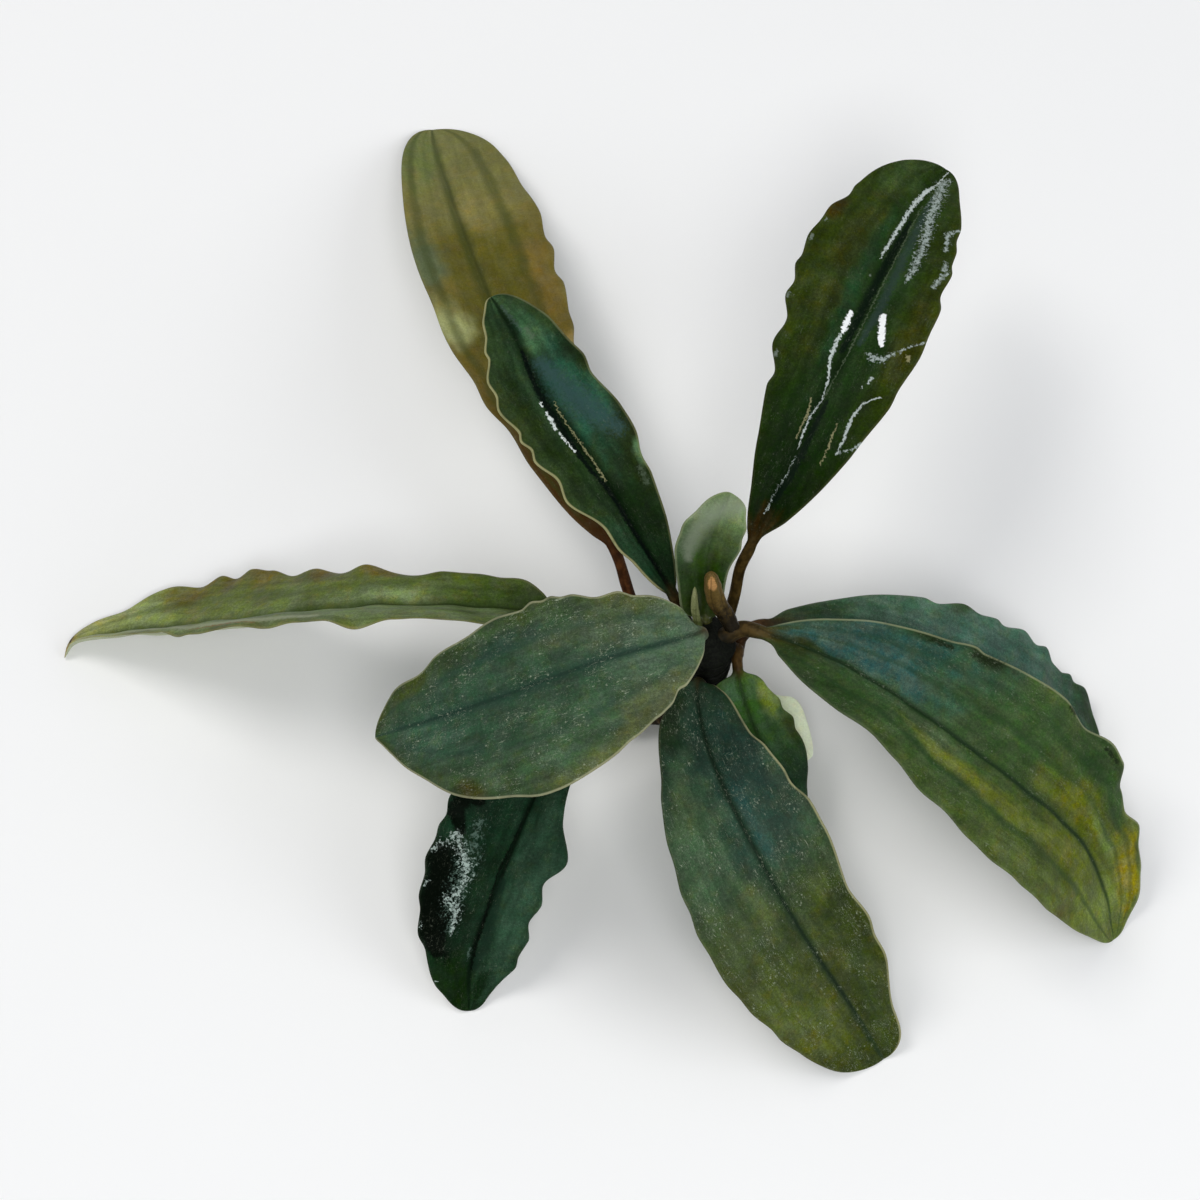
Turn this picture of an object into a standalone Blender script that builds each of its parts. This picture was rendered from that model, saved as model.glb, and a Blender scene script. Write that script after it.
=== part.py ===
"""A bucephalandra: a loose aquarium plant, a rosette of wavy leaves on a short rhizome.

The plant lies loose, as lifted from its tank. Dimensions are in millimetres, +Z is up, and
the origin is on the surface that the plant rests on, in the rhizome's flat underside.
"""

import math

import bpy
import numpy as np

MM = 0.001
SHARP_ANGLE = 50

# The crown's place from the origin, which is in the rhizome's flat underside. All the paths
# below are measured from the crown.
CROWN = (10.0, 1.6, 0.0)

# Leaf section: eight points round each ring, five of them along the upper side
ACROSS = np.array([1.0, 0.55, 0.0, -0.55, -1.0])
BLADE_THICKNESS = 1.0
THINNING = 0.65
PETIOLE_RINGS = 5
BASE_SHARES = (0.0, 0.02, 0.045)
LEAST_GAP = 0.014
MOST_GAP = 0.05
TIP_RINGS = 4
TIP_START = 0.9
TIP_CLOSING = 1.7
PETIOLE_BLEND = 0.04
PETIOLE_FLARE = 0.4
FLARE_LENGTH = 2.0
FOLD_EASING = 0.4

# Wavy margins: how steeply the ruffles grow towards the edge, the share of a crest that goes
# into the blade's width, and the share by which it also rises at the left and the right margin
RUFFLE_POWER = 4.0
SCALLOP = 1.0
RUFFLES = (0.9, 0.9)

# Rhizome: creeping part, bend and crown
RHIZOME_PATH = [(-20.5, -2.6, 2.0), (-14.0, -2.0, 2.0), (-8.3, -1.2, 2.3), (-4.1, -0.5, 4.6),
                (-2.1, -0.1, 9.2), (-1.8, 0.0, 15.0), (-1.8, 0.0, 21.0)]
RHIZOME_RADIUS = 2.8
CROWN_RADIUS = 2.3
RHIZOME_SIDES = 12
RHIZOME_RINGS = 26
NODE_SPACING = 3.4
NODE_SWELL = 0.18
CROWN_DOME = 1.6
DOME_LEAST = 0.12
DOME_RISE = 0.3

# Leaves. rib runs from the foot at the rhizome to the tip. The blade starts at the share
# petiole of that length. left and right are the blade's reach from the rib at OUTLINE_SHARES
# of the blade, seen from above with the tip ahead, before the tip is rounded off: a higher
# tip is blunter. faces are the ways the upper side looks at the blade's base, middle and
# tip, and fold is the rise of each half in degrees. left_edge and right_edge are the margins'
# crests, dips and level stretches: the share of the blade and the millimetres outwards.
OUTLINE_SHARES = (0.0, 0.05, 0.1, 0.2, 0.35, 0.5, 0.65, 0.8, 1.0)
LEAVES = {
    "leaf_back_tall": dict(
        rib=[(-4.4, 2.4, 9.0), (-10.1, 8.3, 11.5), (-12.0, 13.3, 14.0), (-15.5, 20.7, 15.8),
             (-21.0, 31.8, 16.0), (-27.3, 46.9, 13.5), (-33.6, 66.6, 7.0), (-36.3, 78.9, 0.0)],
        petiole=0.19, petiole_radius=0.68, tip=9,
        left=(0.9, 2.6, 3.6, 4.9, 6.6, 7.5, 7.4, 6.5, 6.0),
        right=(0.7, 1.2, 1.9, 3.8, 7.1, 9.4, 9.7, 9.6, 9.3),
        faces=[(0, 0, 1), (0.1, 0.1, 1), (0.1, 0.4, 1)],
        fold=10,
        left_edge=[(0, 0.1), (0.17, 0.3), (0.25, -0.35), (0.3, 0.45), (0.36, -0.2), (0.42, 0.45),
                   (0.53, -0.05), (0.65, 0.15), (0.8, 0.05), (1, 0.1)],
        right_edge=[(0, 0), (0.12, 0.1), (0.2, -0.15), (0.28, 0.15), (0.37, -0.35), (0.4, -0.1),
                    (0.44, -0.35), (0.5, -0.15), (0.54, -0.6), (0.585, 0.1), (0.62, -0.15), (0.68, 0.4),
                    (0.78, 0), (0.87, 0.1), (1, 0.4)],
    ),
    "leaf_back_middle": dict(
        rib=[(-3.7, 2.9, 18.2), (-6.0, 5.9, 23.5), (-9.6, 10.7, 27.5), (-13.1, 15.9, 30.5),
             (-18.2, 22.5, 33.0), (-22.4, 29.7, 34.0), (-24.8, 35.0, 33.5), (-27.2, 39.7, 32.0)],
        petiole=0.13, petiole_radius=0.7, tip=5,
        left=(0.8, 1.7, 2.3, 3.2, 5.1, 5.8, 6.4, 5.1, 3.8),
        right=(0.7, 1.7, 2.6, 4.1, 5.7, 7.0, 6.8, 6.1, 5.2),
        faces=[(0.3, -0.5, 1), (0.2, -0.3, 1), (0, 0, 1)],
        fold=22,
        left_edge=[(0, -0.1), (0.13, -0.3), (0.18, 0), (0.26, -0.75), (0.37, 0.25), (0.44, -0.85),
                   (0.505, 0), (0.54, -0.8), (0.565, -0.3), (0.59, -0.9), (0.655, 0.2), (0.69, -0.2),
                   (0.73, 0.55), (0.79, -0.05), (0.81, 0.4), (0.86, 0.05), (0.91, 0.3), (0.97, -0.2),
                   (1, -0.1)],
        right_edge=[(0, 0), (0.1, 0.05), (0.31, -0.3), (0.36, -0.55), (0.42, -0.15), (0.5, -0.3),
                    (0.63, -0.6), (0.7, 0.05), (0.77, -0.05), (0.84, 0.05), (0.9, -0.1), (1, 0)],
    ),
    "leaf_back_right": dict(
        rib=[(0.1, 2.8, 17.0), (1.6, 6.4, 20.5), (2.3, 8.9, 23.5), (3.9, 11.5, 26.0),
             (6.7, 17.2, 29.0), (13.3, 29.9, 33.0), (18.1, 40.4, 32.5), (25.3, 55.5, 28.0),
             (27.9, 59.7, 26.0)],
        petiole=0.18, petiole_radius=0.68, tip=8,
        left=(0.7, 2.1, 3.0, 4.5, 6.8, 9.0, 9.8, 8.3, 6.8),
        right=(0.7, 2.0, 3.5, 5.5, 7.6, 8.5, 7.9, 6.9, 5.0),
        faces=[(-0.2, -0.5, 1), (-0.1, -0.2, 1), (0.2, 0.2, 1)],
        fold=18,
        left_edge=[(0, 0), (0.1, -0.2), (0.2, 0), (0.3, 0.2), (0.335, -0.35), (0.38, 0.5), (0.455, -0.6),
                   (0.495, 0.1), (0.54, -0.5), (0.57, -0.05), (0.6, -0.35), (0.65, 0.05), (0.69, -0.1),
                   (0.73, 0.15), (0.78, -0.25), (0.81, 0.15), (0.86, 0.3), (0.93, 0.1), (1, -0.3)],
        right_edge=[(0, -0.3), (0.02, -0.5), (0.07, 0), (0.23, 0.2), (0.3, 0), (0.36, 0.1), (0.41, -0.3),
                    (0.48, 0.05), (0.53, -0.1), (0.59, 0.2), (0.635, -0.3), (0.69, 0.3), (0.72, 0.05),
                    (0.755, 0.2), (0.79, -0.05), (0.83, 0.25), (0.93, -0.1), (1, 0)],
    ),
    "leaf_young_upright": dict(
        rib=[(-1.9, 2.8, 20.4), (-1.9, 4.8, 23.4), (-2.0, 7.1, 27.2), (-1.5, 9.3, 30.7),
             (-0.5, 11.5, 33.2), (0.8, 13.9, 34.2)],
        petiole=0.06, petiole_radius=0.65, tip=6,
        left=(1.3, 2.4, 2.8, 3.0, 3.2, 3.75, 4.1, 3.4, 2.4),
        right=(1.1, 1.6, 1.9, 2.2, 2.6, 3.1, 3.7, 4.05, 5.3),
        faces=[(0, -1, 0.35), (0, -0.8, 0.7), (0, -0.3, 1)],
        fold=16,
        left_edge=[(0, 0.1), (0.36, 0.15), (0.54, 0.05), (0.65, -0.15), (0.745, 0.25),
                   (0.815, -0.05), (0.91, 0.1), (1, 0)],
        right_edge=[(0, 0), (0.36, -0.05), (0.635, 0.05), (0.725, -0.15), (0.815, 0), (0.91, -0.5),
                    (1, 0)],
    ),
    "leaf_far_left": dict(
        rib=[(-5.2, 0.5, 11.0), (-14.3, 4.0, 16.0), (-28.4, 5.3, 19.0), (-40.3, 5.4, 19.0),
             (-51.9, 5.3, 15.5), (-61.9, 6.0, 10.0), (-70.6, 7.1, 5.0), (-77.1, 7.4, 2.4),
             (-79.5, 6.8, 1.2), (-80.5, 5.5, 0.2)],
        petiole=0.2, petiole_radius=0.8, tip=14,
        left=(0.8, 4.6, 6.4, 6.8, 7.2, 7.4, 6.7, 4.7, 0.9),
        right=(0.8, 3.2, 4.4, 5.2, 7.1, 8.6, 9.6, 7.8, 0.9),
        faces=[(0, 0.6, 1), (0, 1.2, 1), (-0.2, 1.25, 1)],
        fold=28, scallop=0.3, ruffles=(-1.0, 0.95),
        left_edge=[(0, 0), (0.2, -0.2), (0.28, 0.1), (0.34, 1.45), (0.385, 0.5), (0.43, 0.5),
                   (0.475, 1.05), (0.53, 0.75), (0.6, 1), (0.63, 0.85), (0.655, 1.15), (0.7, 0.3),
                   (0.8, 0.1), (1, 0.1)],
        right_edge=[(0, 0.4), (0.05, 0.8), (0.11, 0.05), (0.2, 0.1), (0.27, -0.9), (0.355, 0.15),
                    (0.41, -0.6), (0.475, 0.5), (0.54, -0.15), (0.6, 0.75), (0.65, 1.1), (0.69, 0.3),
                    (0.72, 0.85), (0.76, 0.05), (0.815, 1.15), (0.89, -0.1), (0.94, 0.4), (1, 0)],
    ),
    "leaf_front_left": dict(
        rib=[(-5.4, -1.3, 16.6), (-4.5, -1.9, 25.0), (-3.2, -3.1, 33.0), (-3.0, -4.1, 36.6),
             (-5.1, -5.2, 38.2), (-8.6, -6.3, 38.5), (-14.3, -7.8, 37.8), (-23.3, -10.3, 35.0),
             (-31.2, -11.6, 30.5), (-40.3, -11.7, 22.0)],
        petiole=0.322, petiole_radius=0.8, tip=5,
        left=(1.2, 3.7, 5.9, 9.1, 12.2, 13.4, 12.2, 8.75, 2.6),
        right=(2.4, 4.2, 5.6, 6.9, 8.5, 9.0, 8.5, 7.5, 7.2),
        faces=[(-0.3, -0.2, 1), (-0.2, 0, 1), (-0.5, 0, 1)],
        fold=10,
        left_edge=[(0, 0), (0.09, 0), (0.11, -0.5), (0.135, 0.1), (0.16, 0), (0.19, -0.3),
                   (0.23, -0.2), (0.26, -0.35), (0.3, -0.2), (0.36, -0.3), (0.45, 0.1),
                   (0.49, 0.1), (0.57, -0.65), (0.7, -0.1), (0.79, -0.3), (0.87, 0),
                   (0.93, -0.1), (1, -0.4)],
        right_edge=[(0, 0), (0.08, -0.1), (0.15, -0.3), (0.19, 0.2), (0.25, -0.2), (0.3, 0.2),
                    (0.325, 0.1), (0.35, 0.3), (0.375, 0.1), (0.4, 0.25), (0.44, -0.15),
                    (0.52, 0.1), (0.62, -0.05), (0.74, 0.15), (0.82, -0.1), (0.91, 0.4), (1, 0)],
    ),
    "leaf_low_left": dict(
        rib=[(-4.8, -2.8, 8.5), (-9.5, -4.2, 13.0), (-18.4, -11.0, 15.0), (-23.4, -19.8, 14.0),
             (-27.3, -28.4, 9.0), (-29.6, -33.7, 3.8), (-29.9, -38.9, 0.0)],
        petiole=0.22, petiole_radius=0.75, tip=7,
        left=(0.8, 1.1, 1.6, 2.8, 4.3, 6.3, 5.8, 5.8, 4.6),
        right=(0.8, 2.2, 3.6, 6.4, 8.7, 9.3, 9.0, 7.3, 5.0),
        faces=[(-0.3, -0.3, 1), (0.2, -0.2, 1), (0.2, -0.7, 1)],
        fold=20,
        left_edge=[(0, 0), (0.15, 0.1), (0.25, -0.1), (0.35, 0), (0.44, 0.7), (0.545, -1.25),
                   (0.605, -0.35), (0.66, -0.6), (0.71, 0.2), (0.78, 0), (0.84, 0.4), (0.955, -0.45),
                   (1, 0)],
        right_edge=[(0, 0), (0.2, 0.15), (0.3, -0.2), (0.41, 0.1), (0.45, -0.4), (0.48, 0),
                    (0.51, -0.15), (0.56, 0.25), (0.61, -0.25), (0.67, 0.05), (0.71, -0.2), (0.77, 0.25),
                    (0.82, -0.4), (0.91, 0), (0.95, -0.35), (1, -0.1)],
    ),
    "leaf_front_right": dict(
        rib=[(-2.0, -4.0, 14.2), (-2.9, -4.9, 20.5), (-2.8, -8.7, 22.4), (-0.7, -16.6, 23.0),
             (3.2, -24.3, 20.8), (8.9, -32.7, 14.5), (14.9, -39.4, 6.5), (19.4, -44.7, 0.0)],
        petiole=0.095, petiole_radius=0.8, tip=10,
        left=(1.2, 3.4, 4.6, 6.0, 7.6, 8.0, 7.2, 6.4, 5.4),
        right=(1.0, 3.0, 4.4, 6.3, 9.1, 10.5, 10.4, 9.3, 9.0),
        faces=[(0, 0, 1), (0.1, -0.3, 1), (0.1, -0.5, 1)],
        fold=14,
        left_edge=[(0, 0.1), (0.04, -0.1), (0.17, -0.35), (0.22, 0.1), (0.28, 0.2), (0.32, -0.05),
                   (0.37, 0.45), (0.43, 0.3), (0.58, -0.3), (0.67, 0.5), (0.72, 0.25), (0.76, 0.4),
                   (0.89, -0.75), (1, 0.5)],
        right_edge=[(0, 0), (0.08, -0.2), (0.12, 0.1), (0.21, -0.1), (0.25, 0.2), (0.31, 0.3), (0.36, 0),
                    (0.41, 0.25), (0.45, 0), (0.49, 0.3), (0.54, 0.05), (0.6, 0.2), (0.65, 0),
                    (0.69, 0.15), (0.75, -0.05), (0.79, 0.2), (0.86, -0.05), (0.92, -0.15), (0.98, 0.05),
                    (1, 0)],
    ),
    "leaf_small_inner": dict(
        rib=[(1.6, 0.8, 17.2), (2.0, 0.4, 17.9), (1.9, -0.5, 18.3), (1.9, -1.6, 18.3),
             (2.7, -5.4, 16.8), (5.3, -10.4, 13.0), (10.1, -16.0, 6.0)],
        petiole=0.17, petiole_radius=0.6, tip=6,
        left=(0.9, 1.9, 2.3, 3.2, 4.0, 4.5, 4.7, 3.9, 2.2),
        right=(1.2, 3.2, 4.0, 4.6, 5.0, 4.8, 4.1, 3.0, 1.8),
        faces=[(0, 0, 1), (0.1, 0, 1), (0.1, -0.5, 1)],
        fold=12,
        left_edge=[(0, 0.6), (0.2, 0.6), (0.3, 0.2), (0.38, 0.5), (0.5, 0), (0.75, -0.35), (0.86, -0.55),
                   (1, -0.2)],
        right_edge=[(0, 0), (0.25, 0.15), (0.4, -0.2), (0.6, 0.1), (0.8, -0.15), (1, 0)],
    ),
    "leaf_small_pale": dict(
        rib=[(0.0, -2.7, 9.0), (3.5, -3.8, 9.6), (5.9, -5.4, 9.8), (8.5, -7.1, 9.0),
             (11.2, -9.4, 7.0)],
        petiole=0.3, petiole_radius=0.6, tip=4,
        left=(0.8, 2.0, 2.6, 3.0, 3.7, 3.6, 2.8, 2.1, 1.2),
        right=(0.8, 1.5, 1.9, 2.5, 3.0, 3.3, 3.4, 3.4, 3.0),
        faces=[(0, 0, 1), (0.1, -0.1, 1), (0.2, -0.3, 1)],
        fold=8,
        left_edge=[(0, 0), (0.3, 0.05), (0.6, -0.05), (1, 0)],
        right_edge=[(0, 0), (0.4, 0.05), (0.7, -0.05), (1, 0)],
    ),
    "leaf_right_upper": dict(
        rib=[(0.3, 1.1, 20.6), (2.3, 1.9, 21.2), (4.8, 1.1, 22.0), (7.9, -0.3, 23.0),
             (13.1, -3.1, 24.3), (24.7, -10.8, 24.0), (36.1, -17.7, 18.0), (43.5, -22.4, 9.8),
             (47.4, -30.2, 0.0)],
        petiole=0.076, petiole_radius=0.85, tip=7,
        left=(0.9, 2.4, 3.8, 6.6, 9.5, 11.4, 11.0, 8.8, 5.4),
        right=(0.8, 2.4, 4.0, 5.6, 7.2, 9.7, 10.9, 10.6, 6.4),
        faces=[(0, 0, 1), (0.1, 0, 1), (0.6, -0.2, 1)],
        fold=16,
        left_edge=[(0, 0), (0.1, 0.2), (0.3, 0.1), (0.345, 0.4), (0.37, 0.1), (0.45, 0), (0.55, 0.1),
                   (0.62, -0.5), (0.69, 0.75), (0.72, 0.65), (0.755, -0.6), (0.79, -0.9), (0.82, 0.15),
                   (0.85, -0.2), (0.89, 0.1), (0.94, 0.6), (0.98, 0.1), (1, 0.3)],
        right_edge=[(0, -0.2), (0.02, -0.5), (0.05, 0), (0.2, 0), (0.28, -0.7), (0.34, -0.2),
                    (0.395, 0.7), (0.46, -0.5), (0.5, 0.05), (0.53, -0.15), (0.56, 0.1), (0.615, -0.4),
                    (0.64, 0), (0.72, 0.05), (0.8, -0.25), (0.9, 0.15), (0.97, -0.45), (1, -0.4)],
    ),
    "leaf_right_lower": dict(
        rib=[(1.9, 1.2, 14.0), (2.9, 3.0, 16.9), (6.0, 3.6, 18.4), (15.2, 1.3, 19.0),
             (27.2, -2.0, 16.0), (38.6, -5.8, 8.3), (47.0, -8.8, 0.2)],
        petiole=0.12, petiole_radius=0.75, tip=8,
        left=(0.8, 1.5, 2.8, 5.3, 7.5, 8.7, 9.7, 9.4, 10.5),
        right=(0.8, 2.4, 3.7, 5.3, 7.5, 8.9, 8.2, 6.5, 3.0),
        faces=[(0, 0, 1), (0, 0.2, 1), (0.3, 0.3, 1)],
        fold=14,
        left_edge=[(0, -0.3), (0.05, 0.2), (0.12, 0.1), (0.22, 0.3), (0.35, 0.25), (0.39, -0.05),
                   (0.455, 0.5), (0.51, 0.05), (0.55, 0.15), (0.58, -0.15), (0.64, 0.4), (0.69, 0),
                   (0.72, 0.4), (0.765, -0.1), (0.8, -0.05), (0.83, 0.45), (0.85, 0.25), (0.89, 0.8),
                   (0.95, 0.2), (1, 0.5)],
        right_edge=[(0, 0), (0.15, 0.1), (0.25, -0.2), (0.36, 0.25), (0.48, -0.25), (0.6, 0.2),
                    (0.7, -0.3), (0.8, 0.15), (0.9, -0.1), (1, 0)],
    ),
}

# Shoots at the crown: path, radius at the foot, at the middle and near the tip. The last
# rings close on the tip, and a higher roundness makes it blunter.
SHOOT_BODY = 0.8
SHOOT_CLOSING = (0.9, 0.96, 0.99)
SHOOT_ROUNDNESS = 6
SHOOTS = {
    "crown_bud": dict(path=[(1.2, 1.4, 23.0), (0.4, 2.5, 24.5), (-0.7, 3.5, 26.4),
                            (-1.3, 4.6, 28.6), (-1.5, 5.5, 30.6)],
                      radii=(1.0, 1.15, 1.25), sides=8, rings=10),
    "new_leaf_spear": dict(path=[(-2.4, 1.0, 21.8), (-3.1, 2.6, 24.2), (-3.3, 3.8, 26.3),
                                 (-3.3, 4.5, 28.4)],
                           radii=(0.5, 0.5, 0.3), sides=8, rings=8),
}

ROOT_RADIUS = 0.45
ROOT_TIP_RADIUS = 0.2
ROOT_SIDES = 6
ROOT_RINGS = 9
ROOT_TIP_START = 0.97
ROOTS = {
    "root_1": [(-18.5, -5.6, 1.3), (-20.0, -7.4, 0.6), (-23.5, -8.6, 0.5), (-27.0, -7.0, 0.5)],
    "root_2": [(-13.4, -5.2, 1.3), (-13.9, -6.4, 0.6), (-16.4, -7.0, 0.5), (-18.2, -9.0, 0.5)],
    "root_3": [(-17.5, 0.8, 1.3), (-18.2, 2.6, 0.6), (-21.5, 4.2, 0.5), (-25.5, 3.4, 0.5)],
    "root_4": [(-12.5, 1.3, 1.3), (-13.0, 3.2, 0.6), (-12.2, 6.2, 0.5), (-14.5, 9.5, 0.5)],
    "root_5": [(-8.4, 2.0, 1.3), (-8.2, 3.8, 0.6), (-6.2, 6.0, 0.5), (-7.4, 9.0, 0.5)],
}

# Colour, roughness for each kind of piece
FINISHES = {
    "leaf_back_tall": ((0.13, 0.11, 0.025), 0.5),
    "leaf_back_middle": ((0.03, 0.06, 0.05), 0.35),
    "leaf_back_right": ((0.02, 0.03, 0.008), 0.25),
    "leaf_young_upright": ((0.12, 0.2, 0.07), 0.35),
    "leaf_far_left": ((0.1, 0.12, 0.025), 0.45),
    "leaf_front_left": ((0.06, 0.09, 0.055), 0.55),
    "leaf_low_left": ((0.01, 0.025, 0.02), 0.3),
    "leaf_front_right": ((0.04, 0.07, 0.05), 0.5),
    "leaf_small_inner": ((0.04, 0.08, 0.02), 0.45),
    "leaf_small_pale": ((0.4, 0.46, 0.27), 0.55),
    "leaf_right_upper": ((0.06, 0.1, 0.04), 0.5),
    "leaf_right_lower": ((0.03, 0.07, 0.05), 0.5),
    "crown_bud": ((0.2, 0.11, 0.035), 0.6),
    "new_leaf_spear": ((0.25, 0.32, 0.1), 0.4),
    "rhizome": ((0.025, 0.018, 0.01), 0.8),
    "root": ((0.1, 0.07, 0.04), 0.8),
}


def unit(vectors):
    return vectors / np.linalg.norm(vectors, axis=-1, keepdims=True)


def smooth_step(x):
    x = np.clip(x, 0, 1)
    return x * x * (3 - 2 * x)


def natural_spline(knots, values, at):
    """The natural cubic spline through values at knots, read at the places in at."""
    knots = np.asarray(knots, float)
    values = np.asarray(values, float)
    gap = np.diff(knots)
    count = len(knots)
    system = np.eye(count)
    target = np.zeros_like(values)
    for i in range(1, count - 1):
        system[i, i - 1:i + 2] = gap[i - 1], 2 * (gap[i - 1] + gap[i]), gap[i]
        target[i] = 6 * ((values[i + 1] - values[i]) / gap[i] - (values[i] - values[i - 1]) / gap[i - 1])
    bend = np.linalg.solve(system, target)
    i = np.clip(np.searchsorted(knots, at) - 1, 0, count - 2)
    width = gap[i][:, None]
    after = (at - knots[i])[:, None] / width
    before = 1 - after
    curve = before * values[i] + after * values[i + 1]
    curve += ((before**3 - before) * bend[i] + (after**3 - after) * bend[i + 1]) * width**2 / 6
    return curve


def walk(points, shares, samples=400):
    """Places and directions at shares of the length of a smooth curve through points."""
    points = np.asarray(points, float)
    chord = np.append(0, np.cumsum(np.linalg.norm(np.diff(points, axis=0), axis=1)))
    fine = natural_spline(chord, points, np.linspace(0, chord[-1], samples))
    length = np.append(0, np.cumsum(np.linalg.norm(np.diff(fine, axis=0), axis=1)))
    heading = unit(np.gradient(fine, axis=0))
    at = np.clip(shares, 0, 1) * length[-1]
    place = np.stack([np.interp(at, length, fine[:, k]) for k in range(3)], axis=-1)
    way = np.stack([np.interp(at, length, heading[:, k]) for k in range(3)], axis=-1)
    return place, unit(way), length[-1]


def between(vectors, shares):
    """Evenly spaced unit vectors, read at shares from the first to the last."""
    vectors = unit(np.asarray(vectors, float))
    steps = np.linspace(0, 1, len(vectors))
    shares = np.clip(shares, 0, 1)
    return np.stack([np.interp(shares, steps, vectors[:, k]) for k in range(3)], axis=-1)


def blade_marks(leaf):
    """Shares of the blade with a ring: at the margins' crests and dips, and between far ones."""
    marks = sorted(share for edge in ("left_edge", "right_edge") for share, _ in leaf[edge])
    kept = list(BASE_SHARES)
    for mark in marks + [TIP_START]:
        if mark <= TIP_START and mark - kept[-1] >= LEAST_GAP:
            parts = math.ceil((mark - kept[-1]) / MOST_GAP)
            kept += list(np.linspace(kept[-1], mark, parts + 1)[1:])
    return kept


def leaf_shares(leaf):
    """Where a leaf's rings lie, as shares of its length: closer at the tip."""
    stalk = np.linspace(0, leaf["petiole"], PETIOLE_RINGS, endpoint=False)
    closing = 1 - (1 - TIP_START) * np.linspace(1, 0, TIP_RINGS + 2)[1:-1] ** TIP_CLOSING
    blade = np.concatenate([blade_marks(leaf), closing])
    return np.append(stalk, leaf["petiole"] + (1 - leaf["petiole"]) * blade)


def tip_rounding(leaf, blade):
    return np.sqrt(1 - np.clip(blade, 0, 1) ** leaf["tip"])


def reach(leaf, blade):
    """Left and right half widths at shares of the blade, rounded off at the tip."""
    rows = np.transpose([leaf["left"], leaf["right"]])
    widths = natural_spline(OUTLINE_SHARES, rows, np.clip(blade, 0, 1))
    return widths * tip_rounding(leaf, blade)[:, None]


def margin_shift(points, blade):
    """How far a margin lies out, joined by smooth steps from each listed place to the next."""
    places, values = np.transpose(points)
    i = np.clip(np.searchsorted(places, blade) - 1, 0, len(points) - 2)
    step = smooth_step((blade - places[i]) / (places[i + 1] - places[i]))
    return values[i] + (values[i + 1] - values[i]) * step


def leaf_directions(leaf, blade, way):
    """The way right and the way up from the blade; the petiole keeps the blade base's right."""
    face = between(leaf["faces"], blade)
    face = unit(face - (face * way).sum(axis=1, keepdims=True) * way)
    right = np.cross(way, face)
    right = np.where(blade[:, None] < 0, right[PETIOLE_RINGS], right)
    right = unit(right - (right * way).sum(axis=1, keepdims=True) * way)
    return right, np.cross(right, way)


def leaf_rings(leaf):
    """Rings of eight points from the foot to near the tip, in millimetres."""
    shares = leaf_shares(leaf)
    place, way, length = walk(leaf["rib"], shares)
    blade = (shares - leaf["petiole"]) / (1 - leaf["petiole"])
    right, face = leaf_directions(leaf, blade, way)
    flat = smooth_step((shares - leaf["petiole"]) / PETIOLE_BLEND + 0.5)
    radius = leaf["petiole_radius"] * (1 + PETIOLE_FLARE * np.exp(-shares * length / FLARE_LENGTH))
    widths = reach(leaf, blade)
    shifts = [margin_shift(leaf[edge], blade) for edge in ("left_edge", "right_edge")]
    shifts = np.transpose(shifts) * tip_rounding(leaf, blade)[:, None]
    slope = math.tan(math.radians(leaf["fold"]))
    scallop = leaf.get("scallop", SCALLOP)
    ruffles = leaf.get("ruffles", RUFFLES)
    ring = []
    for side, across in upper_then_lower():
        hand = 1 if across > 0 else 0
        half = widths[:, hand] + scallop * shifts[:, hand]
        ruffle = ruffles[hand] * shifts[:, hand] * abs(across) ** RUFFLE_POWER
        lift = half * slope * (abs(across) - FOLD_EASING * across**2) + ruffle
        depth = BLADE_THICKNESS * (1 - THINNING * abs(across)) * (abs(across) < 1)
        depth = depth * tip_rounding(leaf, blade)
        turn = math.pi / 2 * across
        out = (1 - flat) * radius * math.sin(turn) + flat * half * across
        up = (1 - flat) * side * radius * math.cos(turn) + flat * (lift + side * depth / 2)
        ring.append(place + right * out[:, None] + face * up[:, None])
    return np.stack(ring, axis=1)


def upper_then_lower():
    """Round a section: right margin, over the upper side, left margin, back underneath."""
    for across in ACROSS:
        yield 1, across
    for across in ACROSS[-2:0:-1]:
        yield -1, across


def rest_on_surface(rings):
    """Lifts each ring that would pass below the surface until it lies on it."""
    low = rings[:, :, 2].min(axis=1)
    rings[:, :, 2] += np.clip(-low, 0, None)[:, None]
    return rings


def solid_from_rings(name, rings, tip, material):
    """A closed mesh: quads between rings, a flat foot, and a fan to the tip point."""
    count, around = rings.shape[:2]
    points = (np.concatenate([rings.reshape(-1, 3), np.reshape(tip, (1, 3))]) + CROWN) * MM
    faces = []
    for i in range(count - 1):
        for j in range(around):
            k = (j + 1) % around
            faces.append((i * around + j, (i + 1) * around + j, (i + 1) * around + k, i * around + k))
    last = (count - 1) * around
    faces += [(last + j, count * around, last + (j + 1) % around) for j in range(around)]
    faces.append(tuple(range(around)))
    mesh = bpy.data.meshes.new(name)
    mesh.from_pydata(points.tolist(), [], faces)
    mesh.materials.append(material)
    mesh.shade_smooth()
    mesh.set_sharp_from_angle(angle=math.radians(SHARP_ANGLE))
    piece = bpy.data.objects.new(name, mesh)
    bpy.context.scene.collection.objects.link(piece)
    return piece


def finish(name):
    colour, roughness = FINISHES[name]
    material = bpy.data.materials.new(name)
    material.use_nodes = True
    shader = material.node_tree.nodes["Principled BSDF"]
    shader.inputs["Base Color"].default_value = (*colour, 1)
    shader.inputs["Roughness"].default_value = roughness
    shader.inputs["Metallic"].default_value = 0
    return material


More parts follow.
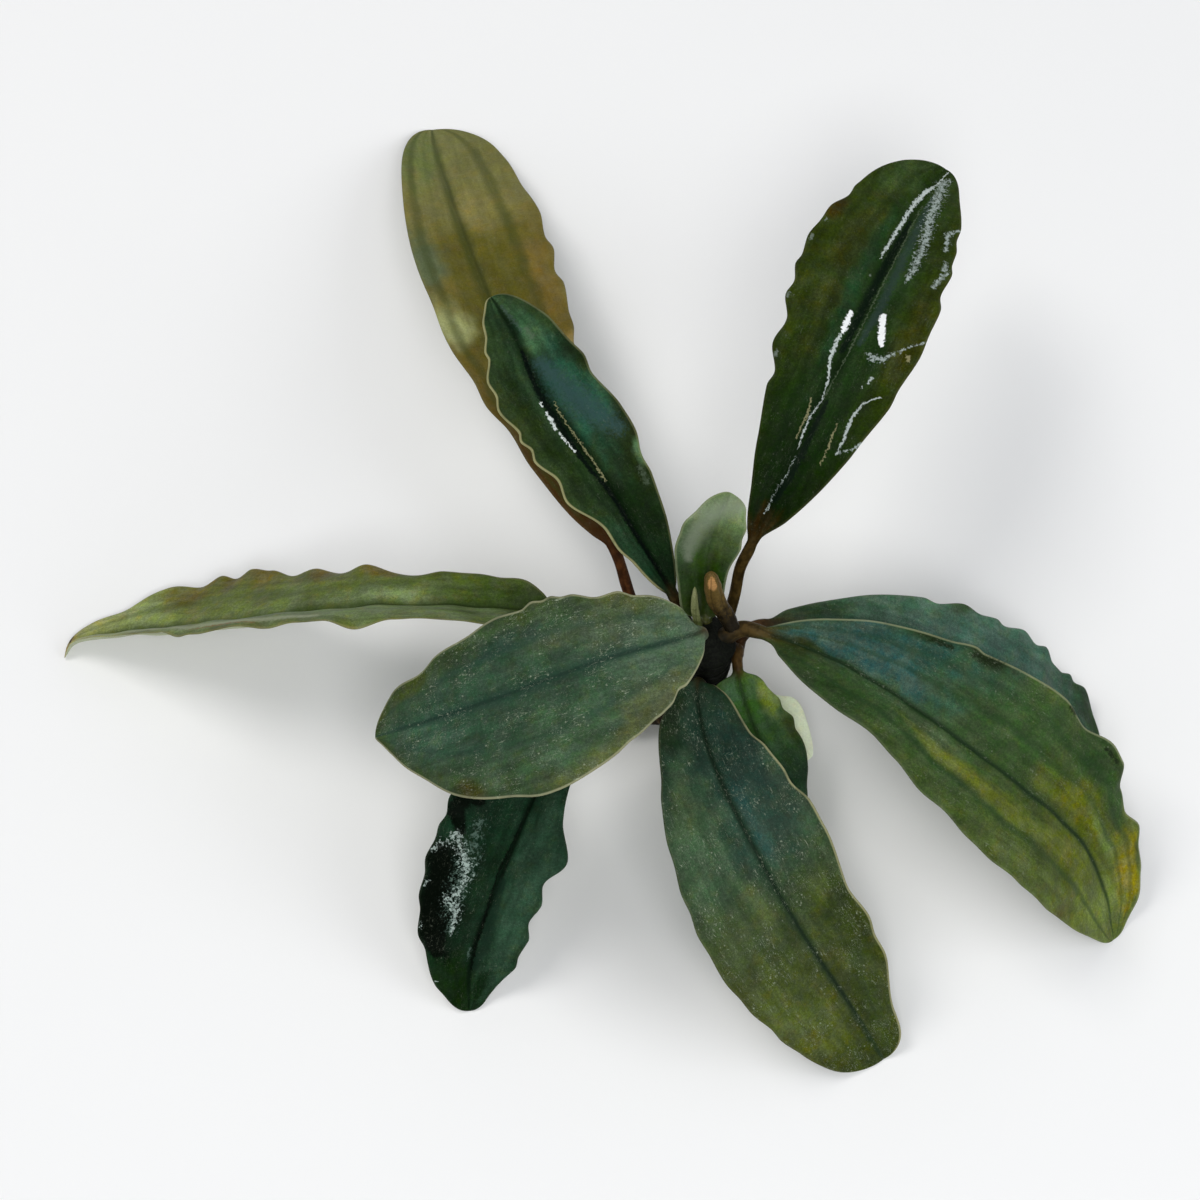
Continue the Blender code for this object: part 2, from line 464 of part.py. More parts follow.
def tube_rings(place, way, radii, sides, start=(0, 0, 1)):
    """Round rings of the given radii along a path, turned with it without twisting."""
    side = np.zeros_like(way)
    hint = np.asarray(start, float)
    for i, heading in enumerate(way):
        hint = hint - np.dot(hint, heading) * heading
        hint = hint / np.linalg.norm(hint)
        side[i] = hint
    other = np.cross(way, side)
    turn = -2 * math.pi * np.arange(sides) / sides
    spread = side[:, None] * np.cos(turn)[:, None] + other[:, None] * np.sin(turn)[:, None]
    return place[:, None] + spread * np.asarray(radii, float)[:, None, None]


def build_leaf(name, leaf):
    rings = rest_on_surface(leaf_rings(leaf))
    tip = walk(leaf["rib"], np.array([1.0]))[0][0]
    tip[2] = max(tip[2], rings[-1, :, 2].mean())
    return solid_from_rings(name, rings, tip, finish(name))


def build_rhizome():
    """The creeping stem, swollen at its leaf scars, flat underneath, turned up to the crown."""
    shares = np.linspace(0, 1, RHIZOME_RINGS)
    place, way, length = walk(RHIZOME_PATH, shares)
    scars = NODE_SWELL * np.cos(2 * math.pi * shares * length / NODE_SPACING)
    dome = np.sqrt(np.clip((1 - shares) * length / CROWN_DOME, DOME_LEAST, 1))
    radii = (RHIZOME_RADIUS + (CROWN_RADIUS - RHIZOME_RADIUS) * shares + scars) * dome
    rings = tube_rings(place, way, radii, RHIZOME_SIDES, start=(0.3, -1, 0))
    rings[:, :, 2] = np.clip(rings[:, :, 2], 0, None)
    return solid_from_rings("rhizome", rings, place[-1] + way[-1] * DOME_RISE, finish("rhizome"))


def build_shoot(name, shoot):
    """A plump bud or a rolled leaf: its radius swells from the foot and closes at the tip."""
    body = np.linspace(0, SHOOT_BODY, shoot["rings"] - len(SHOOT_CLOSING))
    shares = np.append(body, SHOOT_CLOSING)
    place, way, _ = walk(shoot["path"], shares)
    radii = natural_spline([0, 0.5, 1], np.reshape(shoot["radii"], (3, 1)), shares)[:, 0]
    radii = radii * np.sqrt(1 - shares**SHOOT_ROUNDNESS)
    tip = walk(shoot["path"], np.array([1.0]))[0][0]
    rings = tube_rings(place, way, radii, shoot["sides"], start=(1, 0, 0))
    return solid_from_rings(name, rings, tip, finish(name))


def build_root(name, path):
    """A wiry root that leaves the rhizome and lies on the surface."""
    shares = np.linspace(0, ROOT_TIP_START, ROOT_RINGS)
    place, way, _ = walk(path, shares)
    radii = ROOT_RADIUS + (ROOT_TIP_RADIUS - ROOT_RADIUS) * shares
    rings = rest_on_surface(tube_rings(place, way, radii, ROOT_SIDES, start=(0, 0, 1)))
    tip = walk(path, np.array([1.0]))[0][0]
    return solid_from_rings(name, rings, tip, finish("root"))


def main():
    for old in list(bpy.data.objects):
        bpy.data.objects.remove(old)
    build_rhizome()
    for name, leaf in LEAVES.items():
        build_leaf(name, leaf)
    for name, shoot in SHOOTS.items():
        build_shoot(name, shoot)
    for name, path in ROOTS.items():
        build_root(name, path)


main()
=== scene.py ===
import math

import bpy
import numpy as np
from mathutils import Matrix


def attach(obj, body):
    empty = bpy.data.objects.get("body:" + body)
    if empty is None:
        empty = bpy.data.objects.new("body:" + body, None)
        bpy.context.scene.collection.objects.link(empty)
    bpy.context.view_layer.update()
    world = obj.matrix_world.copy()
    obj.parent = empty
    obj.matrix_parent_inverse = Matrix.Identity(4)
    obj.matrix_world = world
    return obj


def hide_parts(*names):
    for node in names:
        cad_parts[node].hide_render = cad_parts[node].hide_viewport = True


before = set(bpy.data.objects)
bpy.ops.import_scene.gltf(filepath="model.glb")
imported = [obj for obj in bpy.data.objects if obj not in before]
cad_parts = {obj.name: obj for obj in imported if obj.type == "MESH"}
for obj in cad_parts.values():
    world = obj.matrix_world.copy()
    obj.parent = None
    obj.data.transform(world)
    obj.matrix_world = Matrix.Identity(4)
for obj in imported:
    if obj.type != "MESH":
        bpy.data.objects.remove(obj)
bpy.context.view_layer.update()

mm = 0.001
crown = np.array([10.0, 1.6, 0.0])  # all paths are measured from the crown, in millimetres, as in the CAD
lowest = 0.02  # no leaf or root lies lower, in millimetres
outlineShares = (0.0, 0.05, 0.1, 0.2, 0.35, 0.5, 0.65, 0.8, 1.0)

# How every leaf's surface is made, in millimetres unless a share
leafMake = dict(
    stalkRows=40, bladeRows=190, tipRows=26, tipStart=0.9, tipPower=1.9,
    columns=19, columnPower=1.45, columnEnd=0.96,
    thickness=0.46, marginThinning=0.45, marginPower=12,
    foldEasing=0.4, ruffleReach=4.0,
    stalkBlend=0.04, stalkFlare=0.4, flareLength=2.0, stalkLumps=0.06,
    grooveDepth=0.2, grooveWidth=0.42, keelDepth=0.42, keelWidth=0.55, ribFading=0.75,
    furrowDepth=0.07, furrowWidth=0.05, pucker=0.13, puckerLength=6.5,
    footRows=6, footShrink=0.35, footReach=0.8,
)

# What most leaves share; a leaf's own entry counts where it has one
leafUsual = dict(scallop=1, ruffles=(0.9, 0.9), texture=1.0, sheath=0.3, specular=0.07, strokes=[])

# Leaves. rib runs from the foot to the tip, and the blade starts at the share petiole. left and
# right are the blade's reach from the rib, faces the ways up along it, fold its sides' angle and
# tip how blunt it ends. leftEdge and rightEdge are the margins' crests and dips (share, outward
# millimetres), scallop the part of these that shows in the outline, and ruffles how far they also
# rise or sink at each side. Colours are 0 to 255: middle and sides hold (share of the blade,
# colour), and patches (share along, place across, length, width, colour, strength). Places across
# run from -1 at the left margin to 1 at the right one. veins hold (place across, width, strength),
# and rims the strength of the left and the right margin's line. gain multiplies the upper side's
# colours, texture the mottling, specks the pale dots, and sheath is the petiole's dark share.
# strokes hold drawn marks, most of them painted light: painted highlights, sheen and dark reflections
# on the wet leaves, and painted shade in grooves and along ruffled margins; a few are the leaf's own
# marks. Each is (colour, strength, raggedness, softness, lines), with lines of (share, millimetres
# from the rib, half width).
leafBackTall = dict(
    node="leaf_back_tall",
    rib=[(-4.4, 2.4, 9.0), (-10.1, 8.3, 11.5), (-12.0, 13.3, 14.0), (-15.5, 20.7, 15.8),
         (-21.0, 31.8, 16.0), (-27.3, 46.9, 13.5), (-33.6, 66.6, 7.0), (-36.3, 78.9, 0.0)],
    petiole=0.19, petioleRadius=0.68, tip=9,
    left=(0.9, 2.6, 3.6, 4.9, 6.6, 7.5, 7.4, 6.5, 6.0),
    right=(0.7, 1.2, 1.9, 3.8, 7.1, 9.4, 9.7, 9.6, 9.3),
    faces=[(0, 0, 1), (0.1, 0.1, 1), (0.1, 0.4, 1)],
    fold=10, phase=0.4,
    leftEdge=[(0, 0.1), (0.17, 0.3), (0.25, -0.35), (0.3, 0.45), (0.36, -0.2), (0.42, 0.45), (0.53, -0.05),
              (0.65, 0.15), (0.8, 0.05), (1, 0.1)],
    rightEdge=[(0, 0), (0.12, 0.1), (0.2, -0.15), (0.28, 0.15), (0.37, -0.35), (0.4, -0.1), (0.44, -0.35),
               (0.5, -0.15), (0.54, -0.6), (0.585, 0.1), (0.62, -0.15), (0.68, 0.4), (0.78, 0),
               (0.87, 0.1), (1, 0.4)],
    middle=[(0, (66, 38, 12)), (0.12, (60, 46, 12)), (0.35, (84, 80, 28)), (0.66, (92, 88, 36)),
            (0.72, (112, 110, 72)), (1, (112, 114, 76))],
    sides=[(0, (70, 36, 12)), (0.2, (70, 50, 16)), (0.4, (100, 88, 42)), (0.66, (108, 98, 50)),
           (0.73, (112, 108, 70)), (1, (106, 108, 68))],
    patches=[(0.47, -0.82, 0.05, 0.3, (158, 164, 132), 0.8), (0.62, -0.85, 0.07, 0.3, (82, 98, 88), 0.8),
             (0.9, -0.6, 0.09, 0.5, (92, 108, 66), 0.7), (0.72, 0.3, 0.06, 0.3, (124, 116, 76), 0.6),
             (0.5, 0.75, 0.12, 0.2, (118, 98, 52), 0.7), (0.36, 0.96, 0.03, 0.1, (160, 140, 100), 0.6)],
    veins=[(-0.06, 0.11, 0.75), (0.58, 0.09, 0.6), (-0.78, 0.09, 0.6), (0.3, 0.05, 0.15), (-0.42, 0.06, 0.2)],
    veinTone=(52, 62, 30), ribLine=0.3, rims=(0.15, 0.15), rimTone=(120, 118, 84),
    gain=(1.06, 1.06, 0.7), specks=0.15, rough=0.55, texture=0.5, under=(120, 124, 92), stalk=(86, 50, 22),
)
leafBackMiddle = dict(
    node="leaf_back_middle",
    rib=[(-3.7, 2.9, 18.2), (-6.0, 5.9, 23.5), (-9.6, 10.7, 27.5), (-13.1, 15.9, 30.5),
         (-18.2, 22.5, 33.0), (-22.4, 29.7, 34.0), (-24.8, 35.0, 33.5), (-27.2, 39.7, 32.0)],
    petiole=0.13, petioleRadius=0.7, tip=5,
    left=(0.8, 1.7, 2.3, 3.2, 5.1, 5.8, 6.4, 5.1, 3.8),
    right=(0.7, 1.7, 2.6, 4.1, 5.7, 7.0, 6.8, 6.1, 5.2),
    faces=[(0.3, -0.5, 1), (0.2, -0.3, 1), (0, 0, 1)],
    fold=22, phase=1.3,
    leftEdge=[(0, -0.1), (0.13, -0.3), (0.18, 0), (0.26, -0.75), (0.37, 0.25), (0.44, -0.85), (0.505, 0),
              (0.54, -0.8), (0.565, -0.3), (0.59, -0.9), (0.655, 0.2), (0.69, -0.2), (0.73, 0.55),
              (0.79, -0.05), (0.81, 0.4), (0.86, 0.05), (0.91, 0.3), (0.97, -0.2), (1, -0.1)],
    rightEdge=[(0, 0), (0.1, 0.05), (0.31, -0.3), (0.36, -0.55), (0.42, -0.15), (0.5, -0.3), (0.63, -0.6),
               (0.7, 0.05), (0.77, -0.05), (0.84, 0.05), (0.9, -0.1), (1, 0)],
    middle=[(0, (22, 40, 28)), (0.2, (40, 52, 38)), (0.45, (50, 58, 40)), (0.7, (56, 66, 54)),
            (1, (56, 68, 56))],
    sides=[(0, (24, 44, 36)), (0.25, (56, 63, 45)), (0.6, (66, 67, 44)), (1, (60, 70, 54))],
    # The first two patches are a painted steel-blue sheen over the right half.
    patches=[(0.62, 0.5, 0.2, 0.5, (54, 84, 84), 0.95), (0.84, 0.35, 0.08, 0.25, (92, 112, 98), 0.8),
             (0.72, 0.95, 0.08, 0.3, (34, 38, 14), 0.8), (0.4, 0.85, 0.1, 0.35, (42, 40, 12), 0.8),
             (0.37, 0.97, 0.03, 0.12, (120, 130, 118), 0.7), (0.25, 0.5, 0.12, 0.4, (24, 40, 14), 0.8),
             (0.14, -0.6, 0.12, 0.5, (48, 70, 62), 0.8), (0.55, -0.55, 0.2, 0.12, (40, 46, 16), 0.6),
             (0.97, 0.2, 0.04, 0.5, (110, 124, 108), 0.5)],
    veins=[(0, 0.16, 0.9), (0.4, 0.06, 0.3), (-0.38, 0.07, 0.35), (-0.7, 0.06, 0.25)],
    veinTone=(12, 26, 12), ribLine=0.5, rims=(0.95, 0.3), rimTone=(148, 146, 104),
    gain=(0.475, 0.785, 0.44), specks=0.15, rough=0.45, specular=0.02,
    strokes=[
        # Painted sheen: a blue band beside the midrib and paler bluish spots.
        ((48, 73, 72), 0.85, 0.3, 1.0, [
            [(0.73, 1.2, 1.3), (0.64, 2.2, 2.3), (0.57, 3.0, 2.6), (0.51, 3.9, 2.2), (0.46, 4.6, 1.4)]]),
        ((86, 100, 82), 0.5, 0.5, 0.9, [
            [(0.84, 1.5, 0.4), (0.81, 1.7, 0.5)], [(0.335, 4.1, 0.5), (0.3, 3.9, 0.5)]]),
        ((70, 88, 80), 0.5, 0.5, 0.9, [[(0.95, 0.4, 0.2), (0.89, 0.6, 0.35), (0.84, 0.9, 0.3)]]),
        # Painted shade and dark reflection: the midrib's wet groove drawn nearly black.
        ((6, 14, 10), 0.95, 0.1, 0.45, [
            [(0.79, -0.1, 0.15), (0.776, -0.1, 0.3), (0.681, -0.6, 0.42), (0.608, -0.6, 0.5),
             (0.552, -0.5, 0.5), (0.48, -0.7, 0.45), (0.401, -0.8, 0.3)],
            [(0.4, -0.6, 0.25), (0.34, -0.4, 0.3), (0.23, -0.2, 0.33), (0.112, -0.1, 0.3),
             (0.03, 0.0, 0.25)]]),
        ((130, 130, 94), 0.9, 0.12, 0.4, [
            [(0.62, 0.45, 0.05), (0.57, 0.3, 0.08), (0.5, 0.3, 0.09), (0.436, 0.2, 0.1), (0.36, 0.0, 0.11)]]),
        # Painted highlights: white glints beside the midrib's groove.
        ((212, 220, 216), 0.95, 0.45, 0.4, [
            [(0.63, -1.1, 0.14), (0.622, -1.1, 0.12)],
            [(0.603, -1.1, 0.12), (0.58, -1.1, 0.26), (0.55, -1.2, 0.24)],
            [(0.535, -1.15, 0.14), (0.5, -1.0, 0.14), (0.473, -0.9, 0.08)]])],
    under=(96, 106, 76), stalk=(60, 46, 24),
)
leafBackRight = dict(
    node="leaf_back_right",
    rib=[(0.1, 2.8, 17.0), (1.6, 6.4, 20.5), (2.3, 8.9, 23.5), (3.9, 11.5, 26.0),
         (6.7, 17.2, 29.0), (13.3, 29.9, 33.0), (18.1, 40.4, 32.5), (25.3, 55.5, 28.0),
         (27.9, 59.7, 26.0)],
    petiole=0.18, petioleRadius=0.68, tip=8,
    left=(0.7, 2.1, 3.0, 4.5, 6.8, 9.0, 9.8, 8.3, 6.8),
    right=(0.7, 2.0, 3.5, 5.5, 7.6, 8.5, 7.9, 6.9, 5.0),
    faces=[(-0.2, -0.5, 1), (-0.1, -0.2, 1), (0.2, 0.2, 1)],
    fold=18, phase=2.1,
    leftEdge=[(0, 0), (0.1, -0.2), (0.2, 0), (0.3, 0.2), (0.335, -0.35), (0.38, 0.5), (0.455, -0.6),
              (0.495, 0.1), (0.54, -0.5), (0.57, -0.05), (0.6, -0.35), (0.65, 0.05), (0.69, -0.1),
              (0.73, 0.15), (0.78, -0.25), (0.81, 0.15), (0.86, 0.3), (0.93, 0.1), (1, -0.3)],
    rightEdge=[(0, -0.3), (0.02, -0.5), (0.07, 0), (0.23, 0.2), (0.3, 0), (0.36, 0.1), (0.41, -0.3),
               (0.48, 0.05), (0.53, -0.1), (0.59, 0.2), (0.635, -0.3), (0.69, 0.3), (0.72, 0.05),
               (0.755, 0.2), (0.79, -0.05), (0.83, 0.25), (0.93, -0.1), (1, 0)],
    middle=[(0, (10, 22, 6)), (0.2, (20, 36, 10)), (0.4, (32, 48, 26)), (0.6, (40, 56, 34)),
            (1, (44, 54, 22))],
    sides=[(0, (14, 26, 4)), (0.25, (28, 40, 8)), (0.5, (58, 60, 24)), (0.8, (54, 58, 24)),
           (1, (56, 66, 36))],
    patches=[(0.74, -0.92, 0.03, 0.12, (62, 36, 18), 0.7), (0.66, -0.5, 0.24, 0.2, (66, 62, 34), 0.8),
             (0.6, -0.25, 0.2, 0.1, (34, 56, 50), 0.6), (0.9, -0.6, 0.07, 0.3, (72, 84, 58), 0.5),
             (0.5, 0.8, 0.1, 0.2, (66, 54, 24), 0.5), (0.02, 0, 0.05, 0.9, (62, 36, 18), 0.8)],
    veins=[(0, 0.13, 0.5), (0.42, 0.07, 0.3), (-0.44, 0.07, 0.35), (-0.75, 0.06, 0.2)],
    veinTone=(12, 26, 14), ribLine=0.2, rims=(0.1, 0.2), rimTone=(96, 92, 60),
    gain=(0.7, 0.99, 0.52), specks=0.2, rough=0.4, specular=0.02, under=(84, 92, 60),
    stalk=(64, 50, 22), sheath=0.5,
    strokes=[
        # Painted shade: a dark band darkening the midrib's groove.
        ((8, 20, 12), 0.9, 0.1, 0.7, [
            [(0.8, 0.3, 0.3), (0.75, 0.3, 0.6), (0.68, 0.1, 0.75), (0.55, -0.2, 0.8), (0.44, -0.3, 0.5)],
            [(0.33, 0.8, 0.3), (0.29, 0.9, 0.5), (0.22, 1.0, 0.6), (0.156, 0.9, 0.6), (0.1, 0.3, 0.5)]]),
        # Painted sheen: a grey-blue band beside the midrib.
        ((44, 60, 56), 0.7, 0.2, 0.8, [
            [(0.9, 1.0, 0.3), (0.82, 1.3, 0.6), (0.75, 1.6, 0.8), (0.55, 1.7, 0.8), (0.47, 1.2, 0.5)]]),
        ((84, 96, 76), 0.7, 0.1, 0.4, [
            [(0.86, 0.5, 0.06), (0.74, 0.8, 0.07), (0.6, 0.7, 0.07), (0.455, 0.5, 0.09),
             (0.335, 0.3, 0.08)]]),
        # This and the strokes below are painted highlights of the wet film: white bars and streaks, a hook, a
        # fuzzy band, yellowish dashes and small glints.
        ((240, 243, 243), 1.0, 0.12, 0.3, [
            [(0.523, -1.3, 0.3), (0.5, -1.2, 0.36), (0.478, -1.2, 0.25)],
            [(0.538, 2.4, 0.4), (0.505, 3.1, 0.46), (0.475, 3.7, 0.3)]]),
        ((192, 202, 198), 0.9, 0.35, 0.5, [
            [(0.99, 0.5, 0.08), (0.938, 0.4, 0.12), (0.9, -0.1, 0.3), (0.86, -0.45, 0.26),
             (0.805, -0.5, 0.26), (0.729, -0.7, 0.2), (0.674, -0.9, 0.08)],
            [(0.469, -1.2, 0.2), (0.454, -1.3, 0.25), (0.412, -1.2, 0.22), (0.37, -0.2, 0.13),
             (0.327, 0.2, 0.08), (0.286, -0.1, 0.1), (0.244, 0.0, 0.12), (0.215, 0.3, 0.05)]]),
        ((176, 186, 182), 0.9, 0.12, 0.6, [
            [(0.375, 6.3, 0.1), (0.362, 5.4, 0.13), (0.345, 4.7, 0.16), (0.322, 4.4, 0.19),
             (0.298, 4.5, 0.22), (0.27, 4.7, 0.2), (0.238, 4.7, 0.12)],
            [(0.407, 4.4, 0.2), (0.394, 4.2, 0.14)], [(0.383, 3.85, 0.1), (0.379, 3.8, 0.08)]]),
        ((168, 180, 176), 0.8, 0.95, 0.8, [
            [(0.965, 1.2, 0.4), (0.94, 1.0, 0.75), (0.907, 1.5, 0.75), (0.848, 2.0, 0.75), (0.799, 2.5, 0.7),
             (0.731, 3.2, 0.65), (0.67, 3.3, 0.45), (0.64, 3.2, 0.2)],
            [(0.823, 5.9, 0.25), (0.798, 5.1, 0.45), (0.752, 5.6, 0.35)],
            [(0.718, 6.3, 0.3), (0.688, 6.9, 0.45), (0.644, 6.4, 0.25)],
            [(0.449, 2.8, 0.35), (0.442, 3.6, 0.45), (0.446, 4.6, 0.4), (0.465, 5.4, 0.25),
             (0.49, 6.9, 0.15), (0.518, 8.4, 0.1)],
            [(0.201, 0.4, 0.07), (0.161, 0.4, 0.08), (0.11, -0.1, 0.09), (0.067, -0.2, 0.07)],
            [(0.24, 4.8, 0.15), (0.26, 6.0, 0.25), (0.282, 6.7, 0.2)]]),
        ((142, 138, 102), 0.8, 0.4, 0.4, [
            [(0.298, 3.1, 0.05), (0.265, 3.3, 0.14), (0.232, 3.5, 0.1), (0.207, 3.5, 0.06)],
            [(0.319, -1.0, 0.1), (0.289, -0.5, 0.15), (0.261, -0.5, 0.14), (0.232, -0.4, 0.08)],
            [(0.469, 7.2, 0.3), (0.463, 7.4, 0.2)]]),
        ((112, 122, 112), 0.8, 0.5, 0.7, [
            [(0.646, -9.3, 0.2), (0.638, -9.2, 0.3)], [(0.702, -8.6, 0.15), (0.694, -8.6, 0.25)],
            [(0.504, -8.7, 0.2), (0.494, -8.7, 0.3)], [(0.373, -7.0, 0.2), (0.364, -6.9, 0.25)],
            [(0.627, -1.1, 0.1), (0.625, -1.1, 0.12)], [(0.655, 2.8, 0.14), (0.652, 2.8, 0.12)]])],
)
leafYoungUpright = dict(
    node="leaf_young_upright",
    rib=[(-1.9, 2.8, 20.4), (-1.9, 4.8, 23.4), (-2.0, 7.1, 27.2), (-1.5, 9.3, 30.7),
         (-0.5, 11.5, 33.2), (0.8, 13.9, 34.2)],
    petiole=0.06, petioleRadius=0.65, tip=6,
    left=(1.3, 2.4, 2.8, 3.0, 3.2, 3.75, 4.1, 3.4, 2.4),
    right=(1.1, 1.6, 1.9, 2.2, 2.6, 3.1, 3.7, 4.05, 5.3),
    faces=[(0, -1, 0.35), (0, -0.8, 0.7), (0, -0.3, 1)],
    fold=16, phase=0.2,
    leftEdge=[(0, 0.1), (0.36, 0.15), (0.54, 0.05), (0.65, -0.15), (0.745, 0.25), (0.815, -0.05),
              (0.91, 0.1), (1, 0)],
    rightEdge=[(0, 0), (0.36, -0.05), (0.635, 0.05), (0.725, -0.15), (0.815, 0), (0.91, -0.5), (1, 0)],
    # The middle and sides turn pale and grey towards the tip, partly a painted sheen that the stroke below
    # finishes.
    middle=[(0, (64, 74, 18)), (0.31, (46, 70, 14)), (0.54, (58, 80, 28)), (0.7, (92, 108, 78)),
            (0.83, (116, 130, 104)), (1, (128, 140, 106))],
    sides=[(0, (74, 86, 34)), (0.36, (54, 78, 40)), (0.59, (82, 102, 84)), (0.77, (116, 128, 100)),
           (1, (130, 142, 108))],
    patches=[(0.63, 0.6, 0.12, 0.35, (92, 106, 62), 0.7), (0.5, 0.2, 0.1, 0.2, (60, 70, 24), 0.6)],
    veins=[(0, 0.1, 0.2)],
    veinTone=(36, 60, 20), ribLine=0.05, rims=(0.55, 0.55), rimTone=(132, 140, 104),
    gain=(0.535, 0.72, 0.37), specks=0.05, rough=0.35, specular=0.3, under=(130, 142, 104),
    stalk=(76, 78, 34),
    strokes=[
        # Painted sheen: a pale arch where the bending blade catches the light.
        ((124, 134, 114), 0.65, 0.05, 1.0, [
            [(0.5, -2.2, 0.7), (0.6, -2.3, 1.4), (0.71, -1.9, 1.7), (0.83, -0.6, 1.7), (0.94, 1.1, 1.6),
             (1.0, 2.2, 1.4)]])],
)
leafFarLeft = dict(
    node="leaf_far_left",
    rib=[(-5.2, 0.5, 11.0), (-14.3, 4.0, 16.0), (-28.4, 5.3, 19.0), (-40.3, 5.4, 19.0),
         (-51.9, 5.3, 15.5), (-61.9, 6.0, 10.0), (-70.6, 7.1, 5.0), (-77.1, 7.4, 2.4),
         (-79.5, 6.8, 1.2), (-80.5, 5.5, 0.2)],
    petiole=0.2, petioleRadius=0.8, tip=14,
    left=(0.8, 4.6, 6.4, 6.8, 7.2, 7.4, 6.7, 4.7, 0.9),
    right=(0.8, 3.2, 4.4, 5.2, 7.1, 8.6, 9.6, 7.8, 0.9),
    faces=[(0, 0.6, 1), (0, 1.2, 1), (-0.2, 1.25, 1)],
    fold=28, scallop=0.3, ruffles=(-1.0, 0.95), phase=2.6,
    leftEdge=[(0, 0), (0.2, -0.2), (0.28, 0.1), (0.34, 1.45), (0.385, 0.5), (0.43, 0.5), (0.475, 1.05),
              (0.53, 0.75), (0.6, 1), (0.63, 0.85), (0.655, 1.15), (0.7, 0.3), (0.8, 0.1), (1, 0.1)],
    rightEdge=[(0, 0.4), (0.05, 0.8), (0.11, 0.05), (0.2, 0.1), (0.27, -0.9), (0.355, 0.15), (0.41, -0.6),
               (0.475, 0.5), (0.54, -0.15), (0.6, 0.75), (0.65, 1.1), (0.69, 0.3), (0.72, 0.85),
               (0.76, 0.05), (0.815, 1.15), (0.89, -0.1), (0.94, 0.4), (1, 0)],
    middle=[(0, (44, 58, 28)), (0.12, (66, 82, 38)), (0.3, (100, 112, 66)), (0.5, (98, 108, 66)),
            (0.7, (104, 112, 60)), (0.84, (126, 134, 90)), (0.955, (150, 148, 100)), (0.97, (150, 116, 66)),
            (1, (146, 112, 60))],
    sides=[(0, (50, 62, 34)), (0.15, (78, 90, 44)), (0.35, (88, 92, 40)), (0.6, (86, 90, 36)),
           (0.75, (92, 96, 38)), (0.86, (132, 138, 92)), (0.96, (148, 142, 94)), (1, (142, 110, 62))],
    patches=[(0.33, 0.95, 0.035, 0.25, (104, 84, 36), 0.8), (0.45, 0.95, 0.03, 0.25, (104, 84, 38), 0.8),
             (0.6, 0.95, 0.04, 0.3, (102, 84, 34), 0.8), (0.69, 0.95, 0.025, 0.25, (98, 80, 32), 0.8),
             (0.76, 0.8, 0.05, 0.35, (100, 86, 26), 0.8), (0.3, 0.25, 0.1, 0.2, (122, 134, 104), 0.6),
             (0.5, -0.5, 0.4, 0.5, (102, 114, 88), 0.8)],
    veins=[(0, 0.12, 0.8), (0.48, 0.1, 0.35), (-0.5, 0.06, 0.2)],
    veinTone=(44, 58, 22), ribLine=0.6, rims=(0.3, 0.2), rimTone=(150, 140, 104),
    gain=(0.94, 1.06, 0.77), specks=0.1, rough=0.5, under=(158, 164, 136), stalk=(70, 62, 30),
    strokes=[
        ((146, 152, 124), 0.7, 0.15, 0.9, [
            [(0.95, -1.3, 0.3), (0.85, -3.0, 0.6), (0.7, -4.8, 0.8), (0.55, -6.1, 0.9), (0.4, -5.9, 0.6)]]),
        ((122, 86, 42), 0.8, 0.3, 0.6, [[(0.5, -6.7, 0.1), (0.57, -6.5, 0.16), (0.64, -6.0, 0.1)]]),
        ((28, 18, 8), 0.9, 0.2, 0.6, [[(0.974, 0.7, 0.3), (0.97, 1.1, 0.3)]])],
)
